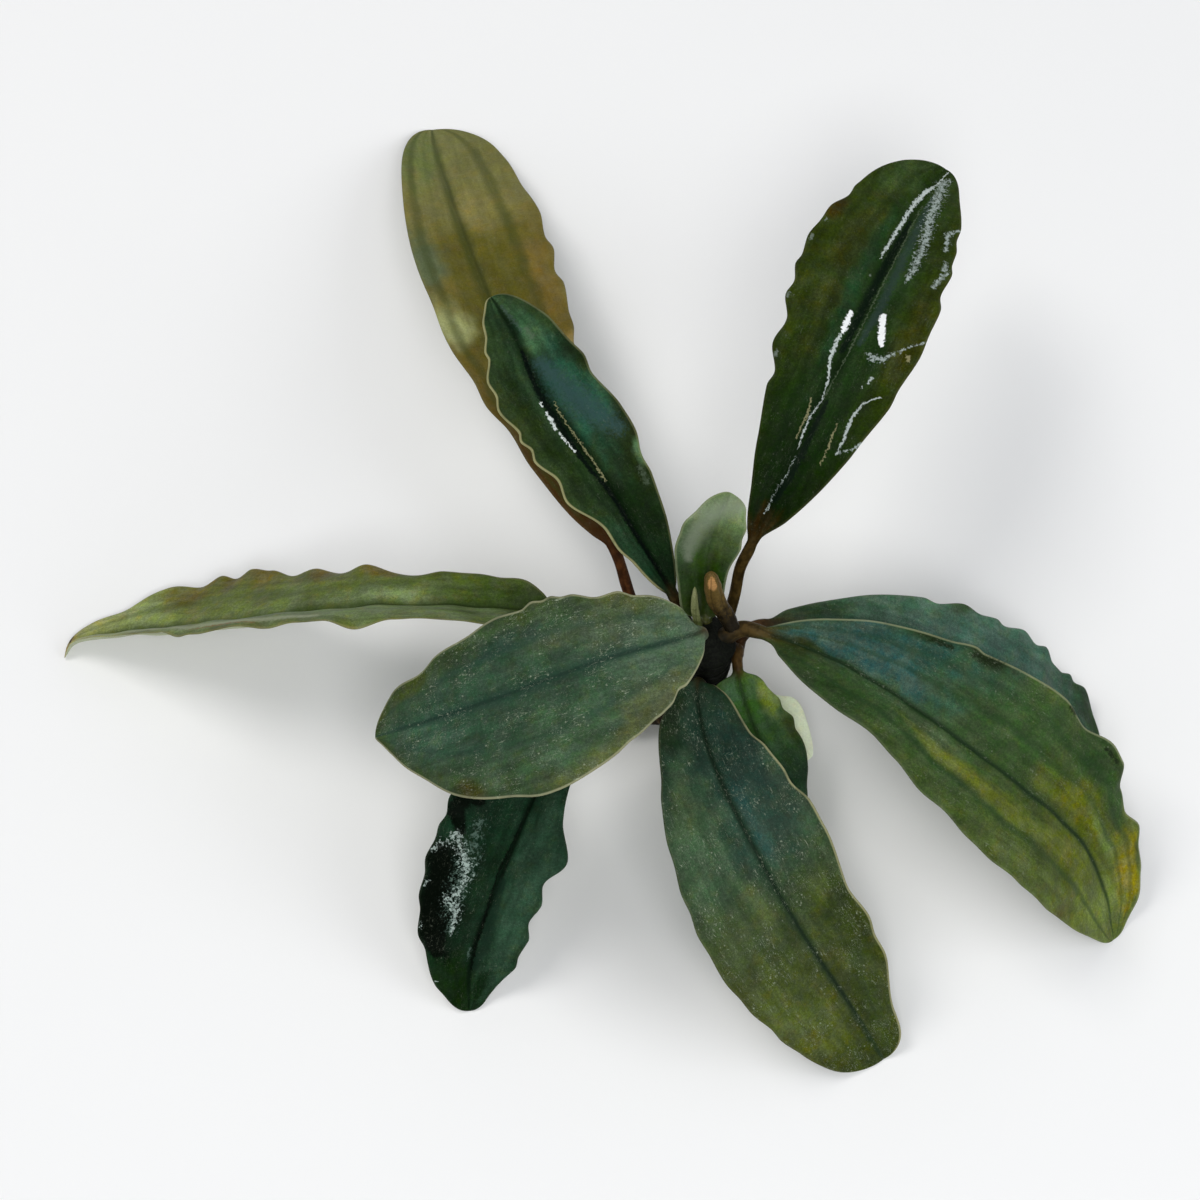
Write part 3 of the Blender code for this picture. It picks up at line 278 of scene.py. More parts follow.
leafFrontLeft = dict(
    node="leaf_front_left",
    rib=[(-5.4, -1.3, 16.6), (-4.5, -1.9, 25.0), (-3.2, -3.1, 33.0), (-3.0, -4.1, 36.6),
         (-5.1, -5.2, 38.2), (-8.6, -6.3, 38.5), (-14.3, -7.8, 37.8), (-23.3, -10.3, 35.0),
         (-31.2, -11.6, 30.5), (-40.3, -11.7, 22.0)],
    petiole=0.322, petioleRadius=0.8, tip=5,
    left=(1.2, 3.7, 5.9, 9.1, 12.2, 13.4, 12.2, 8.75, 2.6),
    right=(2.4, 4.2, 5.6, 6.9, 8.5, 9.0, 8.5, 7.5, 7.2),
    faces=[(-0.3, -0.2, 1), (-0.2, 0, 1), (-0.5, 0, 1)],
    fold=10, phase=0.9,
    leftEdge=[(0, 0), (0.09, 0), (0.11, -0.5), (0.135, 0.1), (0.16, 0), (0.19, -0.3), (0.23, -0.2),
              (0.26, -0.35), (0.3, -0.2), (0.36, -0.3), (0.45, 0.1), (0.49, 0.1), (0.57, -0.65),
              (0.7, -0.1), (0.79, -0.3), (0.87, 0), (0.93, -0.1), (1, -0.4)],
    rightEdge=[(0, 0), (0.08, -0.1), (0.15, -0.3), (0.19, 0.2), (0.25, -0.2), (0.3, 0.2), (0.325, 0.1),
               (0.35, 0.3), (0.375, 0.1), (0.4, 0.25), (0.44, -0.15), (0.52, 0.1), (0.62, -0.05),
               (0.74, 0.15), (0.82, -0.1), (0.91, 0.4), (1, 0)],
    middle=[(0, (92, 108, 86)), (0.08, (76, 94, 72)), (0.27, (56, 78, 60)), (0.48, (52, 74, 56)),
            (0.74, (54, 78, 62)), (0.92, (60, 84, 64)), (1, (66, 82, 44))],
    sides=[(0, (92, 106, 84)), (0.11, (78, 88, 58)), (0.32, (72, 82, 50)), (0.58, (60, 76, 48)),
           (0.79, (60, 72, 40)), (1, (64, 70, 28))],
    patches=[(0.18, -0.8, 0.1, 0.25, (98, 94, 62), 0.8), (0.42, -0.55, 0.15, 0.3, (68, 90, 66), 0.8),
             (0.66, -0.97, 0.035, 0.15, (74, 66, 20), 0.85), (0.37, -0.97, 0.12, 0.12, (92, 92, 54), 0.7),
             (0.27, 0.45, 0.14, 0.2, (92, 100, 74), 0.7), (0.16, 0.9, 0.08, 0.2, (84, 84, 50), 0.6),
             (0.48, 0.65, 0.12, 0.12, (46, 70, 62), 0.7), (0.85, 0.75, 0.06, 0.25, (70, 74, 22), 0.7),
             (0.79, -0.4, 0.1, 0.4, (62, 88, 72), 0.7), (0.1, 0.0, 0.16, 0.6, (82, 98, 80), 0.7),
             (0.6, -0.8, 0.03, 0.12, (90, 106, 84), 0.35)],
    veins=[(0, 0.09, 0.75), (0.55, 0.06, 0.45), (-0.5, 0.05, 0.4), (-0.75, 0.04, 0.2)],
    veinTone=(36, 62, 54), ribLine=0.5, rims=(0.7, 0.6), rimTone=(150, 150, 118),
    gain=(0.71, 0.87, 0.75), specks=1.1, rough=0.6, under=(112, 124, 92), stalk=(64, 54, 32),
)
leafLowLeft = dict(
    node="leaf_low_left",
    rib=[(-4.8, -2.8, 8.5), (-9.5, -4.2, 13.0), (-18.4, -11.0, 15.0), (-23.4, -19.8, 14.0),
         (-27.3, -28.4, 9.0), (-29.6, -33.7, 3.8), (-29.9, -38.9, 0.0)],
    petiole=0.22, petioleRadius=0.75, tip=7,
    left=(0.8, 1.1, 1.6, 2.8, 4.3, 6.3, 5.8, 5.8, 4.6),
    right=(0.8, 2.2, 3.6, 6.4, 8.7, 9.3, 9.0, 7.3, 5.0),
    faces=[(-0.3, -0.3, 1), (0.2, -0.2, 1), (0.2, -0.7, 1)],
    fold=20, phase=1.7,
    leftEdge=[(0, 0), (0.15, 0.1), (0.25, -0.1), (0.35, 0), (0.44, 0.7), (0.545, -1.25), (0.605, -0.35),
              (0.66, -0.6), (0.71, 0.2), (0.78, 0), (0.84, 0.4), (0.955, -0.45), (1, 0)],
    rightEdge=[(0, 0), (0.2, 0.15), (0.3, -0.2), (0.41, 0.1), (0.45, -0.4), (0.48, 0), (0.51, -0.15),
               (0.56, 0.25), (0.61, -0.25), (0.67, 0.05), (0.71, -0.2), (0.77, 0.25), (0.82, -0.4),
               (0.91, 0), (0.95, -0.35), (1, -0.1)],
    middle=[(0, (30, 46, 34)), (0.4, (34, 54, 44)), (0.7, (30, 48, 38)), (1, (26, 42, 18))],
    sides=[(0, (30, 46, 34)), (0.4, (38, 58, 48)), (0.8, (34, 52, 40)), (1, (24, 40, 10))],
    # The first patch is a painted dark reflection: the wet left half drawn black.
    patches=[(0.65, 0.75, 0.2, 0.45, (3, 9, 3), 0.97), (0.45, 0.8, 0.06, 0.3, (36, 56, 46), 0.6),
             (0.58, -0.6, 0.36, 0.55, (66, 79, 72), 0.95), (0.92, 0.4, 0.08, 0.5, (26, 42, 8), 0.8),
             (0.6, 0.2, 0.2, 0.15, (32, 48, 36), 0.7)],
    veins=[(0, 0.07, 0.85), (-0.3, 0.05, 0.3), (0.35, 0.06, 0.3)],
    veinTone=(12, 26, 16), ribLine=0.7, rims=(0.1, 0.1), rimTone=(80, 92, 70),
    gain=(0.43, 0.76, 0.5), specks=0.25, rough=0.45, specular=0.02,
    strokes=[
        # Painted dark reflection: broad black areas of the wet surface.
        ((3, 8, 3), 0.95, 0.12, 0.35, [
            [(0.53, 8.3, 0.7), (0.562, 7.4, 1.2), (0.625, 6.8, 1.7), (0.711, 6.1, 1.8), (0.788, 4.9, 1.4),
             (0.82, 4.4, 0.9)],
            [(0.47, 6.7, 0.8), (0.43, 7.9, 1.2), (0.38, 7.4, 1.3), (0.388, 5.7, 0.8)]]),
        # Painted shade: this and the next stroke are darker bands along the midrib's groove.
        ((18, 36, 26), 0.7, 0.1, 0.6, [
            [(0.571, -0.3, 0.5), (0.692, -0.9, 0.8), (0.799, -1.0, 0.8), (0.86, -0.6, 0.5)]]),
        ((3, 9, 4), 0.9, 0.15, 0.4, [
            [(0.4, 0.1, 0.1), (0.481, 0.3, 0.13), (0.558, 0.5, 0.16), (0.635, 0.3, 0.17), (0.739, -0.2, 0.19),
             (0.823, -0.2, 0.18), (0.87, -0.1, 0.1)]]),
        # Painted sheen: a pale haze around the glints.
        ((96, 120, 108), 0.6, 1.3, 1.0, [
            [(0.44, 4.7, 0.6), (0.5, 4.8, 1.3), (0.57, 4.3, 1.3), (0.65, 4.7, 1.2), (0.74, 3.5, 0.7)],
            [(0.8, 0.5, 0.2), (0.84, 0.4, 0.2)]]),
        # Painted highlights: white sparkles on the wet surface.
        ((176, 192, 184), 0.8, 1.5, 0.9, [
            [(0.535, 9.0, 0.25), (0.51, 7.7, 0.35), (0.482, 6.8, 0.3)],
            [(0.49, 6.7, 0.55), (0.544, 4.7, 0.55), (0.592, 4.0, 0.5), (0.633, 4.3, 0.5)],
            [(0.633, 4.4, 0.6), (0.655, 5.2, 0.6), (0.66, 4.6, 0.6), (0.69, 3.7, 0.5), (0.744, 3.3, 0.3),
             (0.76, 3.3, 0.1)],
            [(0.623, 8.3, 0.2), (0.635, 8.4, 0.15)], [(0.739, 7.4, 0.15), (0.75, 7.2, 0.1)],
            [(0.905, 4.2, 0.09), (0.905, 3.9, 0.07)]])],
    under=(88, 98, 72), stalk=(60, 50, 30),
)
leafFrontRight = dict(
    node="leaf_front_right",
    rib=[(-2.0, -4.0, 14.2), (-2.9, -4.9, 20.5), (-2.8, -8.7, 22.4), (-0.7, -16.6, 23.0),
         (3.2, -24.3, 20.8), (8.9, -32.7, 14.5), (14.9, -39.4, 6.5), (19.4, -44.7, 0.0)],
    petiole=0.095, petioleRadius=0.8, tip=10,
    left=(1.2, 3.4, 4.6, 6.0, 7.6, 8.0, 7.2, 6.4, 5.4),
    right=(1.0, 3.0, 4.4, 6.3, 9.1, 10.5, 10.4, 9.3, 9.0),
    faces=[(0, 0, 1), (0.1, -0.3, 1), (0.1, -0.5, 1)],
    fold=14, phase=0.1,
    leftEdge=[(0, 0.1), (0.04, -0.1), (0.17, -0.35), (0.22, 0.1), (0.28, 0.2), (0.32, -0.05), (0.37, 0.45),
              (0.43, 0.3), (0.58, -0.3), (0.67, 0.5), (0.72, 0.25), (0.76, 0.4), (0.89, -0.75), (1, 0.5)],
    rightEdge=[(0, 0), (0.08, -0.2), (0.12, 0.1), (0.21, -0.1), (0.25, 0.2), (0.31, 0.3), (0.36, 0),
               (0.41, 0.25), (0.45, 0), (0.49, 0.3), (0.54, 0.05), (0.6, 0.2), (0.65, 0), (0.69, 0.15),
               (0.75, -0.05), (0.79, 0.2), (0.86, -0.05), (0.92, -0.15), (0.98, 0.05), (1, 0)],
    middle=[(0, (40, 60, 52)), (0.2, (44, 66, 64)), (0.4, (53, 76, 74)), (0.55, (66, 78, 52)),
            (0.75, (80, 82, 38)), (1, (62, 70, 16))],
    sides=[(0, (38, 56, 36)), (0.2, (50, 70, 64)), (0.45, (64, 80, 60)), (0.65, (78, 78, 40)),
           (0.85, (79, 80, 30)), (1, (62, 68, 12))],
    patches=[(0.28, 0.65, 0.05, 0.2, (96, 94, 66), 0.7), (0.34, 0.6, 0.14, 0.4, (76, 96, 78), 0.8),
             # The first two patches on this line are a painted blue sheen.
             (0.25, -0.5, 0.15, 0.4, (42, 64, 66), 0.8), (0.36, -0.15, 0.08, 0.1, (44, 76, 86), 0.6),
             (0.66, -0.75, 0.12, 0.3, (50, 60, 20), 0.8), (0.54, -0.5, 0.05, 0.2, (92, 98, 44), 0.6),
             (0.55, 0.55, 0.08, 0.3, (78, 86, 58), 0.7), (0.75, 0.6, 0.1, 0.4, (90, 96, 50), 0.8),
             (0.86, 0.55, 0.05, 0.3, (100, 100, 44), 0.6), (0.85, -0.5, 0.1, 0.4, (56, 68, 32), 0.7),
             (0.52, 0.25, 0.06, 0.12, (96, 98, 62), 0.5), (0.1, 0.8, 0.08, 0.25, (34, 50, 26), 0.7)],
    veins=[(0, 0.07, 0.8), (-0.45, 0.05, 0.2), (0.45, 0.06, 0.25)],
    veinTone=(28, 50, 38), ribLine=0.7, rims=(0.85, 0.1), rimTone=(146, 144, 106),
    gain=(0.66, 0.82, 0.56), specks=1.0, rough=0.55, under=(112, 122, 88), stalk=(60, 52, 30),
)
leafSmallInner = dict(
    node="leaf_small_inner",
    rib=[(1.6, 0.8, 17.2), (2.0, 0.4, 17.9), (1.9, -0.5, 18.3), (1.9, -1.6, 18.3),
         (2.7, -5.4, 16.8), (5.3, -10.4, 13.0), (10.1, -16.0, 6.0)],
    petiole=0.17, petioleRadius=0.6, tip=6,
    left=(0.9, 1.9, 2.3, 3.2, 4.0, 4.5, 4.7, 3.9, 2.2),
    right=(1.2, 3.2, 4.0, 4.6, 5.0, 4.8, 4.1, 3.0, 1.8),
    faces=[(0, 0, 1), (0.1, 0, 1), (0.1, -0.5, 1)],
    fold=12, phase=2.4,
    leftEdge=[(0, 0.6), (0.2, 0.6), (0.3, 0.2), (0.38, 0.5), (0.5, 0), (0.75, -0.35), (0.86, -0.55),
              (1, -0.2)],
    rightEdge=[(0, 0), (0.25, 0.15), (0.4, -0.2), (0.6, 0.1), (0.8, -0.15), (1, 0)],
    middle=[(0, (62, 72, 34)), (0.15, (52, 74, 30)), (0.4, (56, 74, 42)), (0.7, (40, 60, 42)),
            (1, (36, 54, 40))],
    sides=[(0, (66, 78, 48)), (0.2, (60, 78, 36)), (0.5, (52, 66, 38)), (0.8, (36, 56, 40)),
           (1, (34, 52, 40))],
    patches=[(0.2, -0.75, 0.14, 0.3, (124, 118, 52), 0.85), (0.1, 0.4, 0.08, 0.3, (72, 94, 70), 0.6),
             (0.45, -0.85, 0.12, 0.2, (66, 58, 26), 0.5)],
    veins=[(0, 0.1, 0.5), (-0.4, 0.06, 0.2), (0.4, 0.06, 0.2)],
    veinTone=(34, 52, 18), ribLine=0.5, rims=(0.15, 0.1), rimTone=(110, 112, 70),
    # The gain brightens this leaf beyond its own colour: painted light for the shade it lies in.
    gain=(0.86, 1.28, 0.98), specks=0.3, rough=0.45, under=(104, 114, 80), stalk=(80, 60, 30),
)
leafSmallPale = dict(
    node="leaf_small_pale",
    rib=[(0.0, -2.7, 9.0), (3.5, -3.8, 9.6), (5.9, -5.4, 9.8), (8.5, -7.1, 9.0),
         (11.2, -9.4, 7.0)],
    petiole=0.3, petioleRadius=0.6, tip=4,
    left=(0.8, 2.0, 2.6, 3.0, 3.7, 3.6, 2.8, 2.1, 1.2),
    right=(0.8, 1.5, 1.9, 2.5, 3.0, 3.3, 3.4, 3.4, 3.0),
    faces=[(0, 0, 1), (0.1, -0.1, 1), (0.2, -0.3, 1)],
    fold=8, phase=0.7,
    leftEdge=[(0, 0), (0.3, 0.05), (0.6, -0.05), (1, 0)],
    rightEdge=[(0, 0), (0.4, 0.05), (0.7, -0.05), (1, 0)],
    middle=[(0, (160, 172, 128)), (1, (180, 190, 152))],
    sides=[(0, (164, 176, 134)), (1, (182, 192, 156))],
    patches=[],
    veins=[(0, 0.08, 0.15)],
    veinTone=(150, 164, 120), ribLine=0.1, rims=(0, 0), rimTone=(180, 190, 152),
    # The gain brightens this leaf far beyond its own colour: painted light for the shade it lies in.
    gain=(2.0, 1.95, 2.3), specks=0.05, rough=0.55, texture=0.25, under=(170, 180, 146),
    stalk=(150, 156, 110),
)
leafRightUpper = dict(
    node="leaf_right_upper",
    rib=[(0.3, 1.1, 20.6), (2.3, 1.9, 21.2), (4.8, 1.1, 22.0), (7.9, -0.3, 23.0),
         (13.1, -3.1, 24.3), (24.7, -10.8, 24.0), (36.1, -17.7, 18.0), (43.5, -22.4, 9.8),
         (47.4, -30.2, 0.0)],
    petiole=0.076, petioleRadius=0.85, tip=7,
    left=(0.9, 2.4, 3.8, 6.6, 9.5, 11.4, 11.0, 8.8, 5.4),
    right=(0.8, 2.4, 4.0, 5.6, 7.2, 9.7, 10.9, 10.6, 6.4),
    faces=[(0, 0, 1), (0.1, 0, 1), (0.6, -0.2, 1)],
    fold=16, phase=1.1,
    leftEdge=[(0, 0), (0.1, 0.2), (0.3, 0.1), (0.345, 0.4), (0.37, 0.1), (0.45, 0), (0.55, 0.1),
              (0.62, -0.5), (0.69, 0.75), (0.72, 0.65), (0.755, -0.6), (0.79, -0.9), (0.82, 0.15),
              (0.85, -0.2), (0.89, 0.1), (0.94, 0.6), (0.98, 0.1), (1, 0.3)],
    rightEdge=[(0, -0.2), (0.02, -0.5), (0.05, 0), (0.2, 0), (0.28, -0.7), (0.34, -0.2), (0.395, 0.7),
               (0.46, -0.5), (0.5, 0.05), (0.53, -0.15), (0.56, 0.1), (0.615, -0.4), (0.64, 0),
               (0.72, 0.05), (0.8, -0.25), (0.9, 0.15), (0.97, -0.45), (1, -0.4)],
    middle=[(0, (60, 52, 26)), (0.1, (50, 64, 38)), (0.25, (58, 80, 62)), (0.45, (60, 80, 54)),
            (0.6, (70, 84, 46)), (0.75, (88, 94, 28)), (0.88, (110, 118, 66)), (1, (104, 114, 60))],
    sides=[(0, (50, 64, 44)), (0.15, (46, 68, 46)), (0.35, (60, 78, 50)), (0.55, (76, 90, 56)),
           (0.75, (84, 94, 44)), (0.9, (106, 112, 60)), (1, (100, 110, 56))],
    # The first two patches are a painted blue sheen on the left half.
    patches=[(0.2, -0.5, 0.16, 0.5, (52, 86, 110), 0.9), (0.33, -0.75, 0.14, 0.3, (50, 82, 92), 0.8),
             (0.27, -0.97, 0.035, 0.12, (32, 44, 10), 0.9), (0.37, -0.97, 0.05, 0.14, (30, 42, 8), 0.9),
             (0.5, -0.5, 0.15, 0.4, (56, 82, 52), 0.8), (0.7, -0.8, 0.12, 0.3, (44, 72, 48), 0.8),
             (0.5, 0.35, 0.16, 0.12, (122, 122, 54), 0.75), (0.36, 0.15, 0.1, 0.1, (84, 94, 86), 0.6),
             (0.69, -0.27, 0.09, 0.18, (100, 100, 14), 0.9), (0.72, 0.25, 0.1, 0.14, (110, 112, 36), 0.7),
             (0.88, -0.62, 0.06, 0.3, (150, 128, 8), 0.95), (0.8, -0.35, 0.08, 0.12, (104, 118, 80), 0.7),
             (0.4, 0.85, 0.2, 0.15, (66, 80, 46), 0.6), (0.62, 0.8, 0.12, 0.2, (92, 100, 64), 0.6),
             (0.8, 0.9, 0.04, 0.2, (86, 80, 16), 0.7), (0.55, 0.97, 0.03, 0.1, (58, 62, 22), 0.6),
             (0.17, 0.5, 0.12, 0.35, (48, 70, 42), 0.7)],
    veins=[(0, 0.05, 0.75), (0.52, 0.05, 0.6), (-0.4, 0.045, 0.5), (-0.68, 0.06, 0.45), (0.25, 0.03, 0.2)],
    veinTone=(34, 58, 40), ribLine=0.7, rims=(0.6, 0.15), rimTone=(140, 146, 112),
    gain=(0.72, 0.85, 0.475), specks=0.4, rough=0.5, under=(112, 122, 88), stalk=(76, 60, 30),
    strokes=[
        # Painted shadows: dark marks under the crests of the ruffled left margin.
        ((18, 30, 8), 0.9, 0.35, 0.8, [
            [(0.275, -7.6, 0.3), (0.31, -8.2, 0.5)],
            [(0.355, -8.9, 0.5), (0.385, -9.5, 0.65), (0.405, -9.9, 0.4)],
            [(0.57, -11.0, 0.4), (0.61, -11.2, 0.6), (0.64, -10.9, 0.4)],
            [(0.68, -9.9, 0.4), (0.71, -9.6, 0.5)]])],
)
leafRightLower = dict(
    node="leaf_right_lower",
    rib=[(1.9, 1.2, 14.0), (2.9, 3.0, 16.9), (6.0, 3.6, 18.4), (15.2, 1.3, 19.0),
         (27.2, -2.0, 16.0), (38.6, -5.8, 8.3), (47.0, -8.8, 0.2)],
    petiole=0.12, petioleRadius=0.75, tip=8,
    left=(0.8, 1.5, 2.8, 5.3, 7.5, 8.7, 9.7, 9.4, 10.5),
    right=(0.8, 2.4, 3.7, 5.3, 7.5, 8.9, 8.2, 6.5, 3.0),
    faces=[(0, 0, 1), (0, 0.2, 1), (0.3, 0.3, 1)],
    fold=14, phase=2.9,
    leftEdge=[(0, -0.3), (0.05, 0.2), (0.12, 0.1), (0.22, 0.3), (0.35, 0.25), (0.39, -0.05), (0.455, 0.5),
              (0.51, 0.05), (0.55, 0.15), (0.58, -0.15), (0.64, 0.4), (0.69, 0), (0.72, 0.4),
              (0.765, -0.1), (0.8, -0.05), (0.83, 0.45), (0.85, 0.25), (0.89, 0.8), (0.95, 0.2), (1, 0.5)],
    rightEdge=[(0, 0), (0.15, 0.1), (0.25, -0.2), (0.36, 0.25), (0.48, -0.25), (0.6, 0.2), (0.7, -0.3),
               (0.8, 0.15), (0.9, -0.1), (1, 0)],
    middle=[(0, (60, 50, 28)), (0.12, (46, 66, 50)), (0.4, (56, 80, 66)), (0.75, (52, 76, 64)),
            (1, (40, 60, 40))],
    sides=[(0, (46, 60, 42)), (0.2, (52, 74, 58)), (0.4, (64, 90, 74)), (0.7, (58, 82, 70)),
           (1, (36, 54, 30))],
    patches=[(0.12, -0.7, 0.05, 0.3, (26, 42, 16), 0.7), (0.45, -0.97, 0.03, 0.12, (40, 48, 16), 0.7),
             (0.92, -0.8, 0.06, 0.25, (26, 44, 14), 0.8), (0.5, -0.6, 0.2, 0.2, (62, 88, 80), 0.6)],
    veins=[(0, 0.06, 0.6), (0.45, 0.06, 0.35), (-0.45, 0.06, 0.4), (-0.72, 0.05, 0.3)],
    veinTone=(30, 52, 42), ribLine=0.6, rims=(0.1, 0.15), rimTone=(120, 128, 100),
    gain=(1.16, 1.33, 1.24), specks=0.3, rough=0.5, under=(104, 116, 88), stalk=(80, 56, 34),
)
leaves = [dict(leafUsual, **leaf) for leaf in (
    leafBackTall, leafBackMiddle, leafBackRight, leafYoungUpright, leafFarLeft, leafFrontLeft,
    leafLowLeft, leafFrontRight, leafSmallInner, leafSmallPale, leafRightUpper, leafRightLower)]


# A colour from 0 to 255 as linear light, by the screen's transfer curve
def tone(colour):
    share = np.asarray(colour, float) / 255
    return np.where(share <= 0.04045, share / 12.92, ((share + 0.055) / 1.055) ** 2.4)


# Vectors divided by their lengths
def unit(vectors):
    return vectors / np.linalg.norm(vectors, axis=-1, keepdims=True)


# 0 below the first limit, 1 above the second and 3x^2 - 2x^3 between them
def smoothStep(x, low=0.0, high=1.0):
    x = np.clip((x - low) / (high - low), 0, 1)
    return x * x * (3 - 2 * x)


# The natural cubic spline through values at knots: its bends solve the usual three-term system
def naturalSpline(knots, values, at):
    knots, values = np.asarray(knots, float), np.asarray(values, float)
    gap, count = np.diff(knots), len(knots)
    system, target = np.eye(count), np.zeros_like(values)
    for i in range(1, count - 1):
        system[i, i - 1:i + 2] = gap[i - 1], 2 * (gap[i - 1] + gap[i]), gap[i]
        target[i] = 6 * ((values[i + 1] - values[i]) / gap[i] - (values[i] - values[i - 1]) / gap[i - 1])
    bend = np.linalg.solve(system, target)
    i = np.clip(np.searchsorted(knots, at) - 1, 0, count - 2)
    width = gap[i][:, None]
    after = (at - knots[i])[:, None] / width
    before = 1 - after
    curve = before * values[i] + after * values[i + 1]
    return curve + ((before**3 - before) * bend[i] + (after**3 - after) * bend[i + 1]) * width**2 / 6


# Places and directions at shares of the length of the smooth curve through points
def walk(points, shares, samples=800):
    points = np.asarray(points, float)
    chord = np.append(0, np.cumsum(np.linalg.norm(np.diff(points, axis=0), axis=1)))
    fine = naturalSpline(chord, points, np.linspace(0, chord[-1], samples))
    length = np.append(0, np.cumsum(np.linalg.norm(np.diff(fine, axis=0), axis=1)))
    heading = unit(np.gradient(fine, axis=0))
    at = np.clip(shares, 0, 1) * length[-1]
    place = np.stack([np.interp(at, length, fine[:, k]) for k in range(3)], axis=-1)
    way = np.stack([np.interp(at, length, heading[:, k]) for k in range(3)], axis=-1)
    return place, unit(way), length[-1]


# Unit vectors spread evenly from 0 to 1, read at shares by straight mixing
def between(vectors, shares):
    vectors = unit(np.asarray(vectors, float))
    steps, shares = np.linspace(0, 1, len(vectors)), np.clip(shares, 0, 1)
    return np.stack([np.interp(shares, steps, vectors[:, k]) for k in range(3)], axis=-1)


# A smooth random value from about -1 to 1: the mean of seeded sine waves of one wavelength
def drift(x, y, wavelength, seed, waves=9):
    dice = np.random.default_rng(seed)
    turn, shift = dice.uniform(0, 2 * math.pi, (2, waves))
    pitch = 2 * math.pi / (wavelength * dice.uniform(0.7, 1.5, waves))
    value = 0
    for k in range(waves):
        value = value + np.sin((x * math.cos(turn[k]) + y * math.sin(turn[k])) * pitch[k] + shift[k])
    return value * math.sqrt(2 / waves) * 0.6


# The margin's way out and in, in millimetres: every listed place is a crest, a dip or a level
# stretch, joined by smooth steps
def marginShift(points, blade):
    places, values = np.transpose(points)
    i = np.clip(np.searchsorted(places, blade) - 1, 0, len(points) - 2)
    return values[i] + (values[i + 1] - values[i]) * smoothStep(blade, places[i], places[i + 1])


# The way right and the way up from the blade; the petiole keeps the blade base's right
def leafDirections(leaf, blade, way):
    face = between(leaf["faces"], blade)
    face = unit(face - (face * way).sum(axis=1, keepdims=True) * way)
    right = np.cross(way, face)
    right = np.where(blade[:, None] < 0, right[np.searchsorted(blade, 0)], right)
    right = unit(right - (right * way).sum(axis=1, keepdims=True) * way)
    return right, np.cross(right, way)


# Where the rows lie, as shares of the leaf's length: even, then closing in on the tip
def leafShares(leaf):
    make = leafMake
    stalk = np.linspace(0, leaf["petiole"], make["stalkRows"], endpoint=False)
    even = np.linspace(0, make["tipStart"], make["bladeRows"])
    closing = 1 - (1 - make["tipStart"]) * np.linspace(1, 0, make["tipRows"] + 2)[1:-1] ** make["tipPower"]
    blade = np.concatenate([even, closing])
    return np.append(stalk, leaf["petiole"] + (1 - leaf["petiole"]) * blade)


# Places across one ring: right margin to left over the upper side, then back underneath
def ringPlaces():
    half = np.linspace(0, 1, leafMake["columns"]) ** leafMake["columnPower"] * leafMake["columnEnd"]
    half = np.append(half, [0.98, 0.994, 1.0])
    upper = np.concatenate([half[::-1], -half[1:]])
    across = np.append(upper, upper[-2:0:-1])
    side = np.append(np.ones(len(upper)), -np.ones(len(upper) - 2))
    return across, side


# The zone colours: the middle's mixed with the sides' by the square of the place across, then
# each patch laid over with a weight that falls off with the distance from its centre
def zoneColours(leaf, blade, across, seed):
    def along(stops):
        places, colours = zip(*stops)
        colours = tone(colours)
        return np.stack([np.interp(blade, places, colours[:, k]) for k in range(3)], axis=-1)

    x = blade[:, None] * leaf["length"]
    y = across[None] * leaf["widest"]
    outward = smoothStep(np.abs(across) + 0.12 * drift(x, y, 9, seed), 0.25, 1.0)[..., None]
    colour = along(leaf["middle"])[:, None] * (1 - outward) + along(leaf["sides"])[:, None] * outward
    for k, (u, v, length, width, shade, strength) in enumerate(leaf["patches"]):
        gap = np.hypot((blade[:, None] - u) / length, (across[None] - v) / width)
        gap = gap + 0.28 * drift(x, y, 5, seed + k + 1) + 0.12 * drift(x, y, 1.6, seed + k + 50)
        weight = (smoothStep(1.5 - gap, 0, 1.1) * strength)[..., None]
        colour = colour * (1 - weight) + tone(shade) * weight
    return colour


# Raises each ring by what its least height lacks of the lowest one
def raiseRings(rings):
    rings[:, :, 2] += np.clip(lowest - rings[:, :, 2].min(axis=1), 0, None)[:, None]


